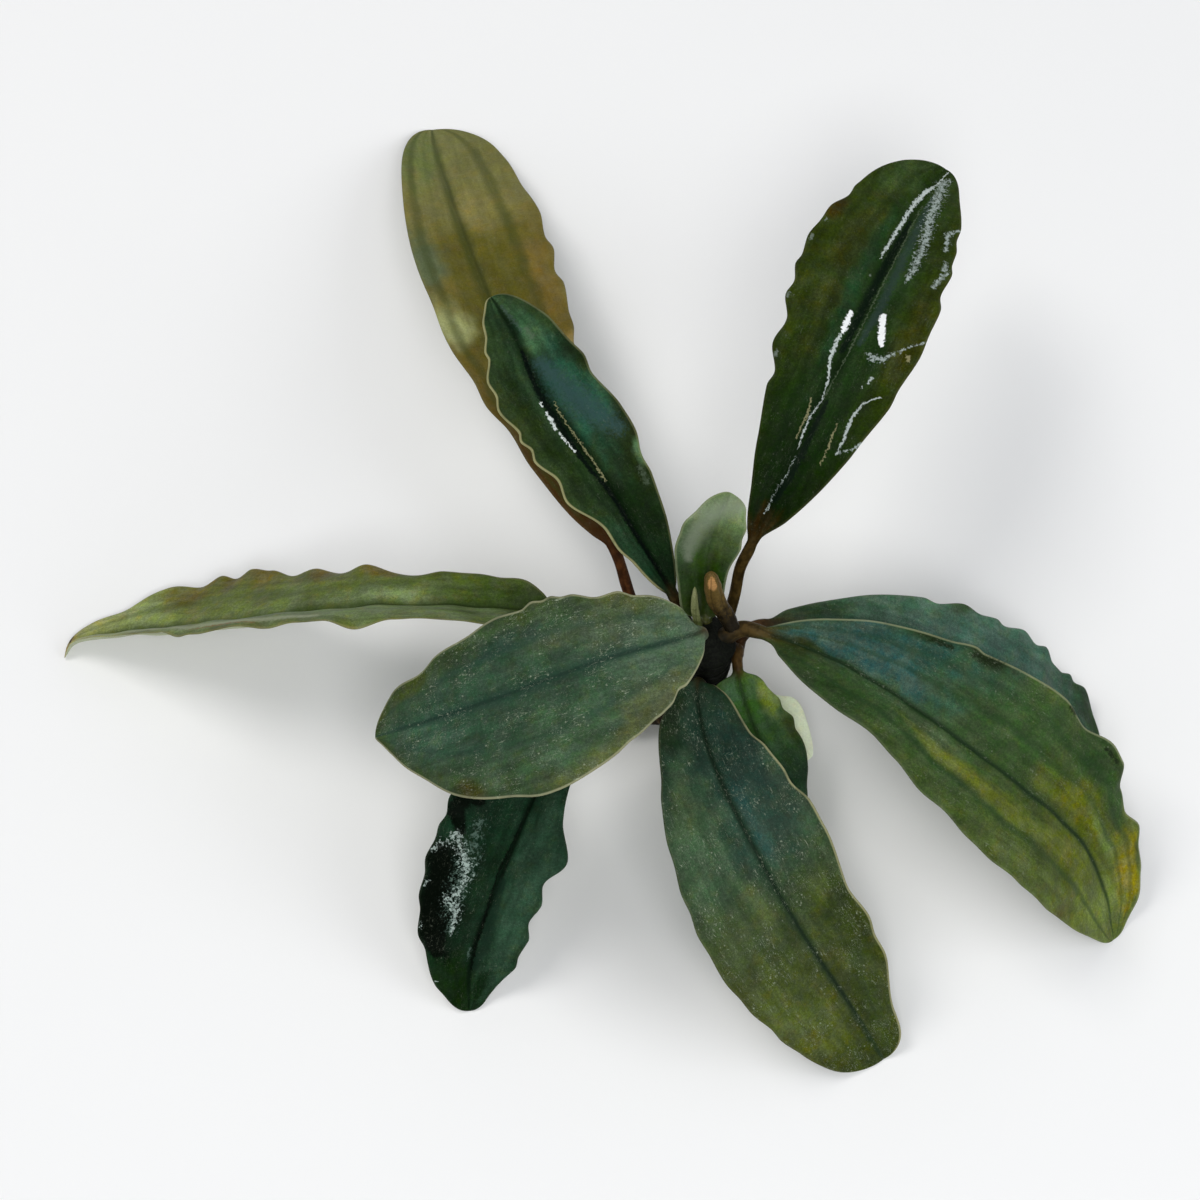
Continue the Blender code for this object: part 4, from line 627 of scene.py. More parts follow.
# One leaf as rings of points. A blade place lies right of the rib by its half width times the
# place across, and above it by the fold's rise, the margin's ruffle and the puckers, less the
# midrib's groove and the furrows of the veins. Underneath, the midrib stands out as a keel.
def leafSurface(leaf, seed):
    make = leafMake
    shares = leafShares(leaf)
    place, way, length = walk(leaf["rib"], shares)
    blade = (shares - leaf["petiole"]) / (1 - leaf["petiole"])
    right, face = leafDirections(leaf, blade, way)
    leaf["length"] = length * (1 - leaf["petiole"])
    across, side = ringPlaces()
    size = np.abs(across)
    rounding = np.sqrt(1 - np.clip(blade, 0, 1) ** leaf["tip"])
    widths = naturalSpline(outlineShares, np.transpose([leaf["left"], leaf["right"]]), np.clip(blade, 0, 1))
    widths = widths * rounding[:, None]
    leaf["widest"] = widths.max()
    hand = (across > 0).astype(int)
    shift = np.stack([marginShift(leaf["leftEdge"], blade), marginShift(leaf["rightEdge"], blade)], axis=1)
    shift = shift * rounding[:, None]
    half = (widths + shift * leaf["scallop"])[:, hand]
    lift = half * math.tan(math.radians(leaf["fold"])) * (size - make["foldEasing"] * size**2)
    lift = lift + (shift * leaf["ruffles"])[:, hand] * size ** make["ruffleReach"]
    x, y = blade[:, None] * leaf["length"], half * across
    inside = smoothStep(blade, 0, 0.12)[:, None] * rounding[:, None]
    lift = lift + make["pucker"] * inside * drift(x, y, make["puckerLength"], seed)
    fading = (1 - make["ribFading"] * np.clip(blade, 0, 1))[:, None] * rounding[:, None]
    groove = np.exp(-(y / make["grooveWidth"]) ** 2) * make["grooveDepth"] * fading
    for spot, _, strength in leaf["veins"]:
        if abs(spot) > 0.1:
            furrow = np.exp(-((across - spot) / make["furrowWidth"]) ** 2) * strength
            groove = groove + furrow * make["furrowDepth"] * inside
    keel = np.exp(-(y / make["keelWidth"]) ** 2) * make["keelDepth"] * fading
    depth = make["thickness"] * (1 - make["marginThinning"] * size)
    depth = depth * np.sqrt(1 - size ** make["marginPower"])
    depth = depth * rounding[:, None]
    rise = lift + side * depth / 2 - np.where(side > 0, groove, keel)
    flat = smoothStep((shares - leaf["petiole"]) / make["stalkBlend"] + 0.5)[:, None]
    radius = leaf["petioleRadius"] * (1 + make["stalkFlare"] * np.exp(-shares * length / make["flareLength"]))
    lumps = make["stalkLumps"] * drift(shares[:, None] * length, 3 * across, 4, seed + 7)
    radius = radius[:, None] * (1 + lumps)
    turn = math.pi / 2 * across
    out = (1 - flat) * radius * np.sin(turn) + flat * y
    up = (1 - flat) * side * radius * np.cos(turn) + flat * rise
    rings = place[:, None] + right[:, None] * out[..., None] + face[:, None] * up[..., None]
    raiseRings(rings)
    return dict(rings=rings, blade=blade, across=across, side=side, half=half, y=y)


# Rows that carry the foot on into the rhizome: the first ring shrinks and slides towards it
def footRows(ring, target):
    make, centre = leafMake, ring.mean(axis=0)
    steps = np.linspace(1, 0, make["footRows"], endpoint=False)[:, None, None]
    shrunk = (ring - centre) * (1 - make["footShrink"] * steps)
    return centre + shrunk + (target - centre) * steps * make["footReach"]


# A closed mesh of quads between rings, with a capped foot and a fan to the tip, and its values
def ringMesh(name, rings, tip, values=None, uv=None):
    count, around = rings.shape[:2]
    points = (np.concatenate([rings.reshape(-1, 3), np.reshape(tip, (1, 3))]) + crown) * mm
    i = np.arange(count - 1)[:, None] * around
    j = np.arange(around)[None]
    k = (j + 1) % around
    quads = np.stack([i + j, i + around + j, i + around + k, i + k], axis=-1).reshape(-1, 4)
    last = (count - 1) * around
    fan = np.stack([last + j[0], np.full(around, count * around), last + k[0]], axis=-1)
    mesh = bpy.data.meshes.new(name)
    mesh.from_pydata(points.tolist(), [], quads.tolist() + fan.tolist() + [tuple(range(around))])
    mesh.shade_smooth()
    for label, value in (values or {}).items():
        if value.ndim == 3:
            full = np.concatenate([value.reshape(-1, 3), value[-1].mean(axis=0)[None]])
            layer = mesh.attributes.new(label, "FLOAT_COLOR", "POINT")
            layer.data.foreach_set("color", np.column_stack([full, np.ones(len(full))]).ravel())
        else:
            full = np.append(value.ravel(), value[-1].mean())
            mesh.attributes.new(label, "FLOAT", "POINT").data.foreach_set("value", full)
    if uv is not None:
        full = np.concatenate([uv.reshape(-1, 2), [[1.0, 0.0]]])
        corner = np.empty(len(mesh.loops), int)
        mesh.loops.foreach_get("vertex_index", corner)
        mesh.uv_layers.new(name="leafPlace").data.foreach_set("uv", full[corner].ravel())
    piece = bpy.data.objects.new(name, mesh)
    bpy.context.scene.collection.objects.link(piece)
    return piece


# A value that is a socket is linked, anything else is set
def plug(tree, socket, value):
    if isinstance(value, bpy.types.NodeSocket):
        tree.links.new(value, socket)
    else:
        socket.default_value = value


# A new node with its settings, and its inputs filled
def node(tree, kind, inputs=(), **settings):
    made = tree.nodes.new(kind)
    for key, value in settings.items():
        setattr(made, key, value)
    for key, value in dict(inputs).items():
        plug(tree, made.inputs[key], value)
    return made


# One step of arithmetic
def calc(tree, operation, *values, clamp=False):
    made = node(tree, "ShaderNodeMath", operation=operation, use_clamp=clamp)
    for socket, value in zip(made.inputs, values):
        plug(tree, socket, value)
    return made.outputs[0]


# The first colour mixed with the second by the share, or multiplied by it
def blend(tree, share, first, second, kind="MIX"):
    made = node(tree, "ShaderNodeMix", data_type="RGBA", blend_type=kind)
    for index, value in ((0, share), (6, first), (7, second)):
        if not isinstance(value, (bpy.types.NodeSocket, float, int)):
            value = (*value, 1.0)
        plug(tree, made.inputs[index], value)
    return made.outputs[2]


# Smooth noise around 0.5, at a scale in waves a millimetre
def noise(tree, vector, scale, detail=2.0, roughness=0.5, distortion=0.0):
    inputs = {"Vector": vector, "Scale": scale, "Detail": detail, "Roughness": roughness,
              "Distortion": distortion}
    return node(tree, "ShaderNodeTexNoise", inputs).outputs["Fac"]


# The value carried from one range to another, smoothly and held at both ends
def span(tree, value, low, high, toLow=0.0, toHigh=1.0):
    inputs = {0: value, 1: low, 2: high, 3: toLow, 4: toHigh}
    return node(tree, "ShaderNodeMapRange", inputs, interpolation_type="SMOOTHSTEP").outputs[0]


# A value that is stored on the mesh
def attribute(tree, name, output="Fac"):
    return node(tree, "ShaderNodeAttribute", attribute_name=name).outputs[output]


# A value as a grey
def grey(tree, value):
    return node(tree, "ShaderNodeCombineColor", {0: value, 1: value, 2: value}).outputs[0]


# A new material, its nodes and its main shader
def emptyMaterial(name):
    material = bpy.data.materials.new(name)
    material.use_nodes = True
    tree = material.node_tree
    return material, tree, tree.nodes["Principled BSDF"]


# The place on the piece in millimetres
def millimetres(tree):
    place = node(tree, "ShaderNodeTexCoord").outputs["Object"]
    return node(tree, "ShaderNodeVectorMath", {0: place, "Scale": 1000.0}, operation="SCALE").outputs[0]


# Plugs in the colour and the roughness, and a bump as deep as given, in metres
def dress(tree, shader, colour, rough, specular, height=None, depth=0.0):
    plug(tree, shader.inputs["Base Color"], colour)
    plug(tree, shader.inputs["Roughness"], rough)
    shader.inputs["Specular IOR Level"].default_value = specular
    if height is not None:
        bump = node(tree, "ShaderNodeBump", {"Height": height, "Strength": 1.0, "Distance": depth})
        plug(tree, shader.inputs["Normal"], bump.outputs[0])


# Every leaf's finish: how far each noise lightens and darkens, the noises as (scale, detail,
# roughness and distortion), widths in millimetres, the colours of specks and sheaths, and what the
# warm patches multiply a colour by
leafFinish = dict(
    mottle=0.2, streak=0.2, grain=0.2, dust=0.2,
    slowNoise=(0.32, 3.0, 0.55), streakNoise=(0.9, 3.0, 0.6, 0.3), grainNoise=(3.2, 3.0, 0.65),
    dustNoise=(9.0, 2.0, 0.6), warmNoise=(0.55, 3.0, 0.65), strongNoise=(0.75, 3.0, 0.6),
    crumbNoise=(2.6, 4.0, 0.7, 0.6), patchyNoise=(1.7, 3.0, 0.7), flakeNoise=(3.6, 3.0, 0.75, 2.0),
    scratchNoise=(1.0, 2.0, 0.6, 1.5), areaNoise=(0.28, 3.0, 0.65), stalkNoise=(0.9, 2.0, 0.65),
    bumpNoise=(1.1, 2.0), bumpDepth=0.00004, rimWidth=0.3, ribWidth=0.22, ribShade=0.45,
    warmth=(1.4, 1.04, 0.74), warmShare=0.6, saturation=0.91, saturationSpread=0.19,
    speckTone=(172, 182, 158), speckShare=0.6, sheathTone=(12, 13, 7),
    frayShare=7, wander=1.2, roughSpread=0.08,
)


# The distance to a stroke in half widths: each stretch's nearest place is its start plus the share
# along it, held from 0 to 1; the half width changes evenly along it, and the least distance counts
def strokeGap(tree, sheet, lines, length):
    least = None
    for points in lines:
        for (share, gap, half), (share2, gap2, half2) in zip(points[:-1], points[1:]):
            start, run = (share * length, gap, 0), np.array([(share2 - share) * length, gap2 - gap, 0])
            apart = node(tree, "ShaderNodeVectorMath", {0: sheet, 1: start}, operation="SUBTRACT").outputs[0]
            inputs = {0: apart, 1: tuple(run / (run @ run))}
            along = node(tree, "ShaderNodeVectorMath", inputs, operation="DOT_PRODUCT").outputs["Value"]
            along = calc(tree, "ADD", along, 0.0, clamp=True)
            nearest = node(tree, "ShaderNodeVectorMath", {0: tuple(run), "Scale": along}, operation="SCALE")
            inputs = {0: apart, 1: nearest.outputs[0]}
            away = node(tree, "ShaderNodeVectorMath", inputs, operation="DISTANCE").outputs["Value"]
            away = calc(tree, "DIVIDE", away, calc(tree, "MULTIPLY_ADD", along, half2 - half, half))
            least = away if least is None else calc(tree, "MINIMUM", least, away)
    return least


# A leaf's material: the zone colours times the relief, which is the product of mottling, streaks,
# grain and dust, warmer in patches and more or less saturated. Over them lie the vein bands, the
# midrib's line, the gain, the margin's line, the strokes with their painted highlights, sheen and
# shade, the specks and the petiole. The underside has its own colour with the same relief, warm
# patches, bands and margin.
def leafMaterial(leaf):
    finish, texture = leafFinish, leaf["texture"]
    material, tree, shader = emptyMaterial(leaf["node"])
    place = millimetres(tree)
    uv = node(tree, "ShaderNodeUVMap", uv_map="leafPlace").outputs[0]
    parts = node(tree, "ShaderNodeSeparateXYZ", {0: uv})
    along, across = parts.outputs[0], parts.outputs[1]
    ribGap, edgeGap, upper = (attribute(tree, name) for name in ("ribGap", "edgeGap", "upper"))
    lengthwise = node(tree, "ShaderNodeCombineXYZ", {
        0: calc(tree, "MULTIPLY", along, leaf["length"] / 7), 1: ribGap, 2: leaf["phase"] * 7}).outputs[0]
    slow = noise(tree, place, *finish["slowNoise"])
    streak = noise(tree, lengthwise, *finish["streakNoise"])
    grain, dust = noise(tree, place, *finish["grainNoise"]), noise(tree, place, *finish["dustNoise"])
    relief = 1.0
    for value, name in ((slow, "mottle"), (streak, "streak"), (grain, "grain"), (dust, "dust")):
        depth = finish[name] * texture
        relief = calc(tree, "MULTIPLY", relief, span(tree, value, 0.3, 0.7, 1 - depth, 1 + depth))
    relief = grey(tree, relief)
    colour = blend(tree, 1.0, attribute(tree, "zone", "Color"), relief, "MULTIPLY")
    warm = noise(tree, place, *finish["warmNoise"])
    warm = span(tree, warm, 0.48, 0.7, 0.0, finish["warmShare"] * texture)
    colour = blend(tree, warm, colour, blend(tree, 1.0, colour, finish["warmth"], "MULTIPLY"))
    spread = finish["saturationSpread"] * texture
    strong = noise(tree, place, *finish["strongNoise"])
    strong = span(tree, strong, 0.35, 0.65, finish["saturation"] - spread, finish["saturation"] + spread)
    colour = node(tree, "ShaderNodeHueSaturation", {"Saturation": strong, "Color": colour}).outputs[0]

    # Vein bands: each fades over its width from its place across, more or less by the streaks
    wobble = calc(tree, "MULTIPLY", calc(tree, "SUBTRACT", slow, 0.5), 0.1)
    bent = calc(tree, "ADD", across, wobble)
    veinTone, ribbed = tuple(tone(leaf["veinTone"])), 0.0
    for spot, width, strength in leaf["veins"]:
        away = calc(tree, "ABSOLUTE", calc(tree, "SUBTRACT", bent, spot))
        band = span(tree, away, 0.15 * width, 1.5 * width, strength, 0.0)
        band = calc(tree, "MULTIPLY", band, span(tree, streak, 0.25, 0.65, 0.55, 1.0))
        band = calc(tree, "MULTIPLY", band, span(tree, along, 0.0, 0.1))
        colour = blend(tree, band, colour, veinTone)
        ribbed = calc(tree, "MAXIMUM", ribbed, band)
    fromRib = calc(tree, "ABSOLUTE", ribGap)
    ribLine = span(tree, fromRib, 0.3 * finish["ribWidth"], 1.6 * finish["ribWidth"], leaf["ribLine"], 0.0)
    ribLine = calc(tree, "MULTIPLY", ribLine, span(tree, along, 0.97, 0.8))
    colour = blend(tree, ribLine, colour, tuple(tone(leaf["veinTone"]) * finish["ribShade"]))
    colour = blend(tree, 1.0, colour, leaf["gain"], "MULTIPLY")

    # The margin's line, stronger or weaker along its way
    sideShare = span(tree, across, -0.2, 0.2, leaf["rims"][0], leaf["rims"][1])
    rim = span(tree, edgeGap, 0.55 * finish["rimWidth"], 1.15 * finish["rimWidth"], 1.0, 0.0)
    rim = calc(tree, "MULTIPLY", calc(tree, "MULTIPLY", rim, sideShare), span(tree, slow, 0.3, 0.5, 0.6, 1.0))
    rim = calc(tree, "MULTIPLY", rim, span(tree, along, 0.0, 0.04))
    colour = blend(tree, rim, colour, tuple(tone(leaf["rimTone"])))

    # Strokes, mostly painted highlights, sheen and shade: each fades at its edge, which wanders and is
    # broken up by the noise. Every group is read a hair's breadth off where the last one lies, so that
    # they are worked out one by one
    if leaf["strokes"]:
        drawn, crumbs = 0.0, noise(tree, place, *finish["crumbNoise"])
        patchy = noise(tree, place, *finish["patchyNoise"])
        sway = calc(tree, "MULTIPLY_ADD", slow, finish["wander"], -finish["wander"] / 2)
        sheetX = calc(tree, "MULTIPLY_ADD", along, leaf["length"], sway)
        sheetY = calc(tree, "ADD", ribGap, calc(tree, "SUBTRACT", grain, 0.5))
        for shade, strength, ragged, soft, lines in leaf["strokes"]:
            shifted = calc(tree, "MULTIPLY_ADD", drawn, 0.02, sheetX)
            sheet = node(tree, "ShaderNodeCombineXYZ", {0: shifted, 1: sheetY}).outputs[0]
            gap = strokeGap(tree, sheet, lines, leaf["length"])
            fray = calc(tree, "MULTIPLY", calc(tree, "SUBTRACT", crumbs, 0.47), ragged * finish["frayShare"])
            gap = calc(tree, "ADD", gap, fray)
            drawn = span(tree, gap, 1 - soft, 1.15, strength, 0.0)
            drawn = calc(tree, "MULTIPLY", drawn, span(tree, patchy, 0.3, 0.55, 1 - 0.6 * ragged, 1.0))
            colour = blend(tree, drawn, colour, tuple(tone(shade)))

    # Specks: small cells of a random few, and short pale scratches, in drifting areas
    cells = node(tree, "ShaderNodeTexVoronoi", {"Vector": place, "Scale": 2.0, "Randomness": 1.0})
    chosen = node(tree, "ShaderNodeSeparateColor", {0: cells.outputs["Color"]}).outputs[0]
    dot = calc(tree, "MULTIPLY", span(tree, cells.outputs["Distance"], 0.1, 0.3, 1.0, 0.0),
               span(tree, chosen, 0.5, 0.95))
    flake = span(tree, noise(tree, place, *finish["flakeNoise"]), 0.58, 0.72)
    sliding = node(tree, "ShaderNodeCombineXYZ", {
        0: calc(tree, "MULTIPLY", along, leaf["length"] * 1.1), 1: calc(tree, "MULTIPLY", ribGap, 5.0),
        2: 3.0}).outputs[0]
    scratch = span(tree, noise(tree, sliding, *finish["scratchNoise"]), 0.6, 0.72)
    flake = calc(tree, "ADD", flake, calc(tree, "MULTIPLY", scratch, 0.7))
    area = span(tree, noise(tree, place, *finish["areaNoise"]), 0.42, 0.62, 0.15, 1.0)
    speck = calc(tree, "MULTIPLY", calc(tree, "ADD", calc(tree, "MULTIPLY", dot, 0.7), flake), area)
    speck = calc(tree, "MULTIPLY", speck, leaf["specks"] * finish["speckShare"], clamp=True)
    colour = blend(tree, speck, colour, tuple(tone(finish["speckTone"])))

    # The petiole has lengthwise fissures and a dark sheath, and runs into the blade along the rib
    stalk, fissures = tone(leaf["stalk"]), noise(tree, place, *finish["stalkNoise"])
    stalkTone = blend(tree, span(tree, fissures, 0.35, 0.65), tuple(stalk * 0.55), tuple(stalk * 1.2))
    stalkTone = blend(tree, 1.0, stalkTone, grey(tree, span(tree, streak, 0.35, 0.6, 0.5, 1.1)), "MULTIPLY")
    foot = leaf["petiole"] / (leaf["petiole"] - 1)
    sheath = span(tree, calc(tree, "MULTIPLY_ADD", slow, 0.06, along), foot + 0.02,
                  foot * (1 - leaf["sheath"]) + 0.05, 0.95, 0.0)
    stalkTone = blend(tree, sheath, stalkTone, tuple(tone(finish["sheathTone"])))
    reach = calc(tree, "ADD", along, calc(tree, "MULTIPLY", fromRib, 0.03))
    colour = blend(tree, span(tree, reach, -0.03, 0.06, 1.0, 0.0), colour, stalkTone)

    # The underside: streaks, warm patches, relief, bands, margin and the paler keel
    under = tone(leaf["under"])
    underTone = blend(tree, span(tree, streak, 0.35, 0.65), tuple(under * 0.75), tuple(under * 1.1))
    underTone = blend(tree, warm, underTone, tuple(under * (1.0, 0.82, 0.6)))
    underTone = blend(tree, 1.0, underTone, relief, "MULTIPLY")
    underTone = blend(tree, calc(tree, "MULTIPLY", ribbed, 0.7), underTone, tuple(under * 0.5))
    underTone = blend(tree, rim, underTone, tuple(under * 1.5))
    keel = span(tree, fromRib, 0.3, 0.9, 0.7, 0.0)
    underTone = blend(tree, keel, underTone, tuple(under * 1.4))
    below = calc(tree, "MULTIPLY", span(tree, upper, 0.4, 0.6, 1.0, 0.0), span(tree, along, -0.02, 0.05))
    colour = blend(tree, below, colour, underTone)

    # Roughness varies with the mottling
    spread = finish["roughSpread"]
    rough = span(tree, slow, 0.3, 0.7, leaf["rough"] - spread, leaf["rough"] + spread)
    height = noise(tree, place, *finish["bumpNoise"])
    height = calc(tree, "ADD", grain, calc(tree, "MULTIPLY", height, 1.5))
    dress(tree, shader, colour, rough, leaf["specular"], height, finish["bumpDepth"])
    return material


# The rhizome's path and its size, repeated from the CAD; the bulge fills the crown's back
rhizome = dict(
    path=[(-20.5, -2.6, 2.0), (-14.0, -2.0, 2.0), (-8.3, -1.2, 2.3), (-4.1, -0.5, 4.6),
          (-2.1, -0.1, 9.2), (-1.7, 0.0, 15.0), (-1.3, 0.2, 22.0)],
    radius=2.8, crownRadius=3.15, rows=260, sides=72, nodeSpacing=3.4, nodeSwell=0.18, dome=1.6,
    scarDepth=0.16, lumps=0.14, bulge=1.2, bulgeTurn=3.14, bulgeDrop=1.9,
    tone=(40, 32, 22), scarTone=(92, 74, 50), mossTone=(34, 44, 24), crownShadeTone=(6, 8, 4),
)


# Even places along the rhizome's middle
def rhizomeAxis():
    return walk(rhizome["path"], np.linspace(0, 1, 200))[0]


# Round rings along a path, turned with it without twisting: each hint is the last less its part
# along the new heading
def tubeRings(place, way, radii, sides, start):
    side = np.zeros_like(way)
    hint = np.asarray(start, float)
    for i, heading in enumerate(way):
        hint = hint - np.dot(hint, heading) * heading
        hint = hint / np.linalg.norm(hint)
        side[i] = hint
    other = np.cross(way, side)
    turn = -2 * math.pi * np.arange(sides) / sides
    spread = side[:, None] * np.cos(turn)[:, None] + other[:, None] * np.sin(turn)[:, None]
    radii = np.asarray(radii, float)
    radii = radii[:, None] if radii.ndim == 1 else radii
    return place[:, None] + spread * radii[..., None]


# The rhizome: the CAD's swelling radius, less a narrow cut beside every leaf scar, with lumps and
# the bulge. Its colour is dark bark with pale scars and moss, and nearly black towards the crown,
# where painted shade darkens the bark.
def buildRhizome():
    shares = np.linspace(0, 1, rhizome["rows"])
    place, way, length = walk(rhizome["path"], shares)
    along = shares * length
    turn = 2 * math.pi * along / rhizome["nodeSpacing"]
    angle = 2 * math.pi * np.arange(rhizome["sides"]) / rhizome["sides"]
    dome = np.sqrt(np.clip((1 - shares) * length / rhizome["dome"], 0.02, 1))
    foot = np.sqrt(np.clip(along / 0.5, 0.5, 1))
    radii = rhizome["radius"] + (rhizome["crownRadius"] - rhizome["radius"]) * shares
    radii = (radii + rhizome["nodeSwell"] * (np.cos(turn) - 1)) * dome * foot
    wander = 0.5 * np.sin(angle)[None] + 0.3 * np.sin(2 * angle + 1)[None]
    ring = np.cos(turn[:, None] + wander)
    scar = np.exp(-((1 - ring) / 0.08) ** 2) * smoothStep(-place[:, 2:], -9, -4)
    cut = np.exp(-((1 - ring - 0.25) / 0.12) ** 2)
    around = 2.6 * angle[None]
    lumps = drift(along[:, None], around, 2.2, 31) + 0.5 * drift(along[:, None], around, 0.9, 32)
    lumps = lumps * np.sin(angle / 2)[None]
    bulge = np.exp(-((along[:, None] - length + rhizome["bulgeDrop"]) / 1.1) ** 2)
    bulge = bulge * np.exp(-(rhizome["bulgeTurn"] - angle[None]) ** 2 / 0.6)
    bark = rhizome["scarDepth"] * (0.6 * scar - cut) + rhizome["lumps"] * (lumps - 0.6)
    shape = radii[:, None] + rhizome["bulge"] * bulge + bark * dome[:, None]
    rings = tubeRings(place, way, shape, rhizome["sides"], (0.3, -1, 0))
    rings[:, :, 2] = np.clip(rings[:, :, 2], 0, None)
    piece = ringMesh("rhizome_bark", rings, place[-1] + way[-1] * 0.1, dict(scar=scar))
    material, tree, shader = emptyMaterial("rhizome")
    spot = millimetres(tree)
    coarse, fine = noise(tree, spot, 0.8, 5.0, 0.65), noise(tree, spot, 4.0, 4.0, 0.7)
    dark = tone(rhizome["tone"])
    colour = blend(tree, span(tree, coarse, 0.35, 0.65), tuple(dark * 0.5), tuple(dark * 1.5))
    moss = span(tree, noise(tree, spot, 0.35, 3.0), 0.5, 0.65, 0, 0.6)
    colour = blend(tree, moss, colour, tuple(tone(rhizome["mossTone"])))
    ringShare = calc(tree, "MULTIPLY", attribute(tree, "scar"), span(tree, fine, 0.35, 0.6, 0.2, 0.8))
    colour = blend(tree, ringShare, colour, tuple(tone(rhizome["scarTone"])))
    # Painted shade: above the lower bark the rhizome turns nearly black, the crown's shaded core.
    level = node(tree, "ShaderNodeSeparateXYZ", {0: spot}).outputs[2]
    crownShadeTone = tone(rhizome["crownShadeTone"])
    crownShadeTone = blend(tree, span(tree, fine, 0.4, 0.6), tuple(crownShadeTone * 0.5), tuple(crownShadeTone * 2.5))
    colour = blend(tree, span(tree, level, 4.0, 9.0), colour, crownShadeTone)
    height = calc(tree, "ADD", coarse, calc(tree, "MULTIPLY", fine, 0.4))
    dress(tree, shader, colour, span(tree, coarse, 0.3, 0.7, 0.55, 0.85), 0.1, height, 0.0002)
    piece.data.materials.append(material)
    settle(piece, "rhizome")


# A piece rides on the plant and stands in for its CAD node, which it hides
def settle(piece, standsFor):
    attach(piece, "root")
    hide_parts(standsFor)


# A leaf's piece: its surface, carried on at the foot to the nearest part of the rhizome, with the
# values that its material reads: colour, distance from the rib and from the margin, and the side
def buildLeaf(leaf, seed):
    surface = leafSurface(leaf, seed)
    rings, blade, across = surface["rings"], surface["blade"], surface["across"]
    tip = walk(leaf["rib"], np.array([1.0]))[0][0]
    tip[2] = max(tip[2], rings[-1, :, 2].mean())
    axis, foot = rhizomeAxis(), rings[0].mean(axis=0)
    gap = np.linalg.norm(axis - foot, axis=1) + 0.6 * np.clip(axis[:, 2] - foot[2], 0, None)
    extra = footRows(rings[0], axis[gap.argmin()])
    rings = np.concatenate([extra, rings])
    blade = np.concatenate([np.full(len(extra), blade[0]), blade])

    def padded(grid):
        return np.concatenate([np.repeat(grid[:1], len(extra), axis=0), grid])

    edge = padded(surface["half"] * (1 - np.abs(across)))
    values = dict(
        zone=zoneColours(leaf, blade, across, seed),
        ribGap=padded(surface["y"]),
        edgeGap=edge,
        upper=np.repeat((surface["side"][None] + 1) / 2, len(blade), axis=0),
    )
    uv = np.stack(np.broadcast_arrays(blade[:, None], across[None]), axis=-1)
    piece = ringMesh(leaf["node"] + "_blade", rings, tip, values, uv)
    piece.data.materials.append(leafMaterial(leaf))
    settle(piece, leaf["node"])


# Shoots at the crown, with the CAD's paths and radii; low, high and tip are colours
shoots = [
    dict(node="crown_bud", path=[(1.2, 1.4, 23.0), (0.4, 2.5, 24.5), (-0.7, 3.5, 26.4),
                                 (-1.3, 4.6, 28.6), (-1.5, 5.5, 30.6)],
         radii=(1.0, 1.15, 1.25), ridge=0.12, folds=5,
         low=(26, 20, 8), high=(92, 74, 34), tip=(168, 126, 76)),
    dict(node="new_leaf_spear", path=[(-2.4, 1.0, 21.8), (-3.1, 2.6, 24.2), (-3.3, 3.8, 26.3),
                                      (-3.3, 4.5, 28.4)],
         radii=(0.5, 0.5, 0.3), ridge=0.06, folds=3,
         low=(56, 64, 22), high=(132, 138, 92), tip=(150, 154, 110)),
]
shootMake = dict(sides=48, rows=90, twist=2.2, lumps=0.04, patchShare=0.87, patchTurn=math.pi / 2)


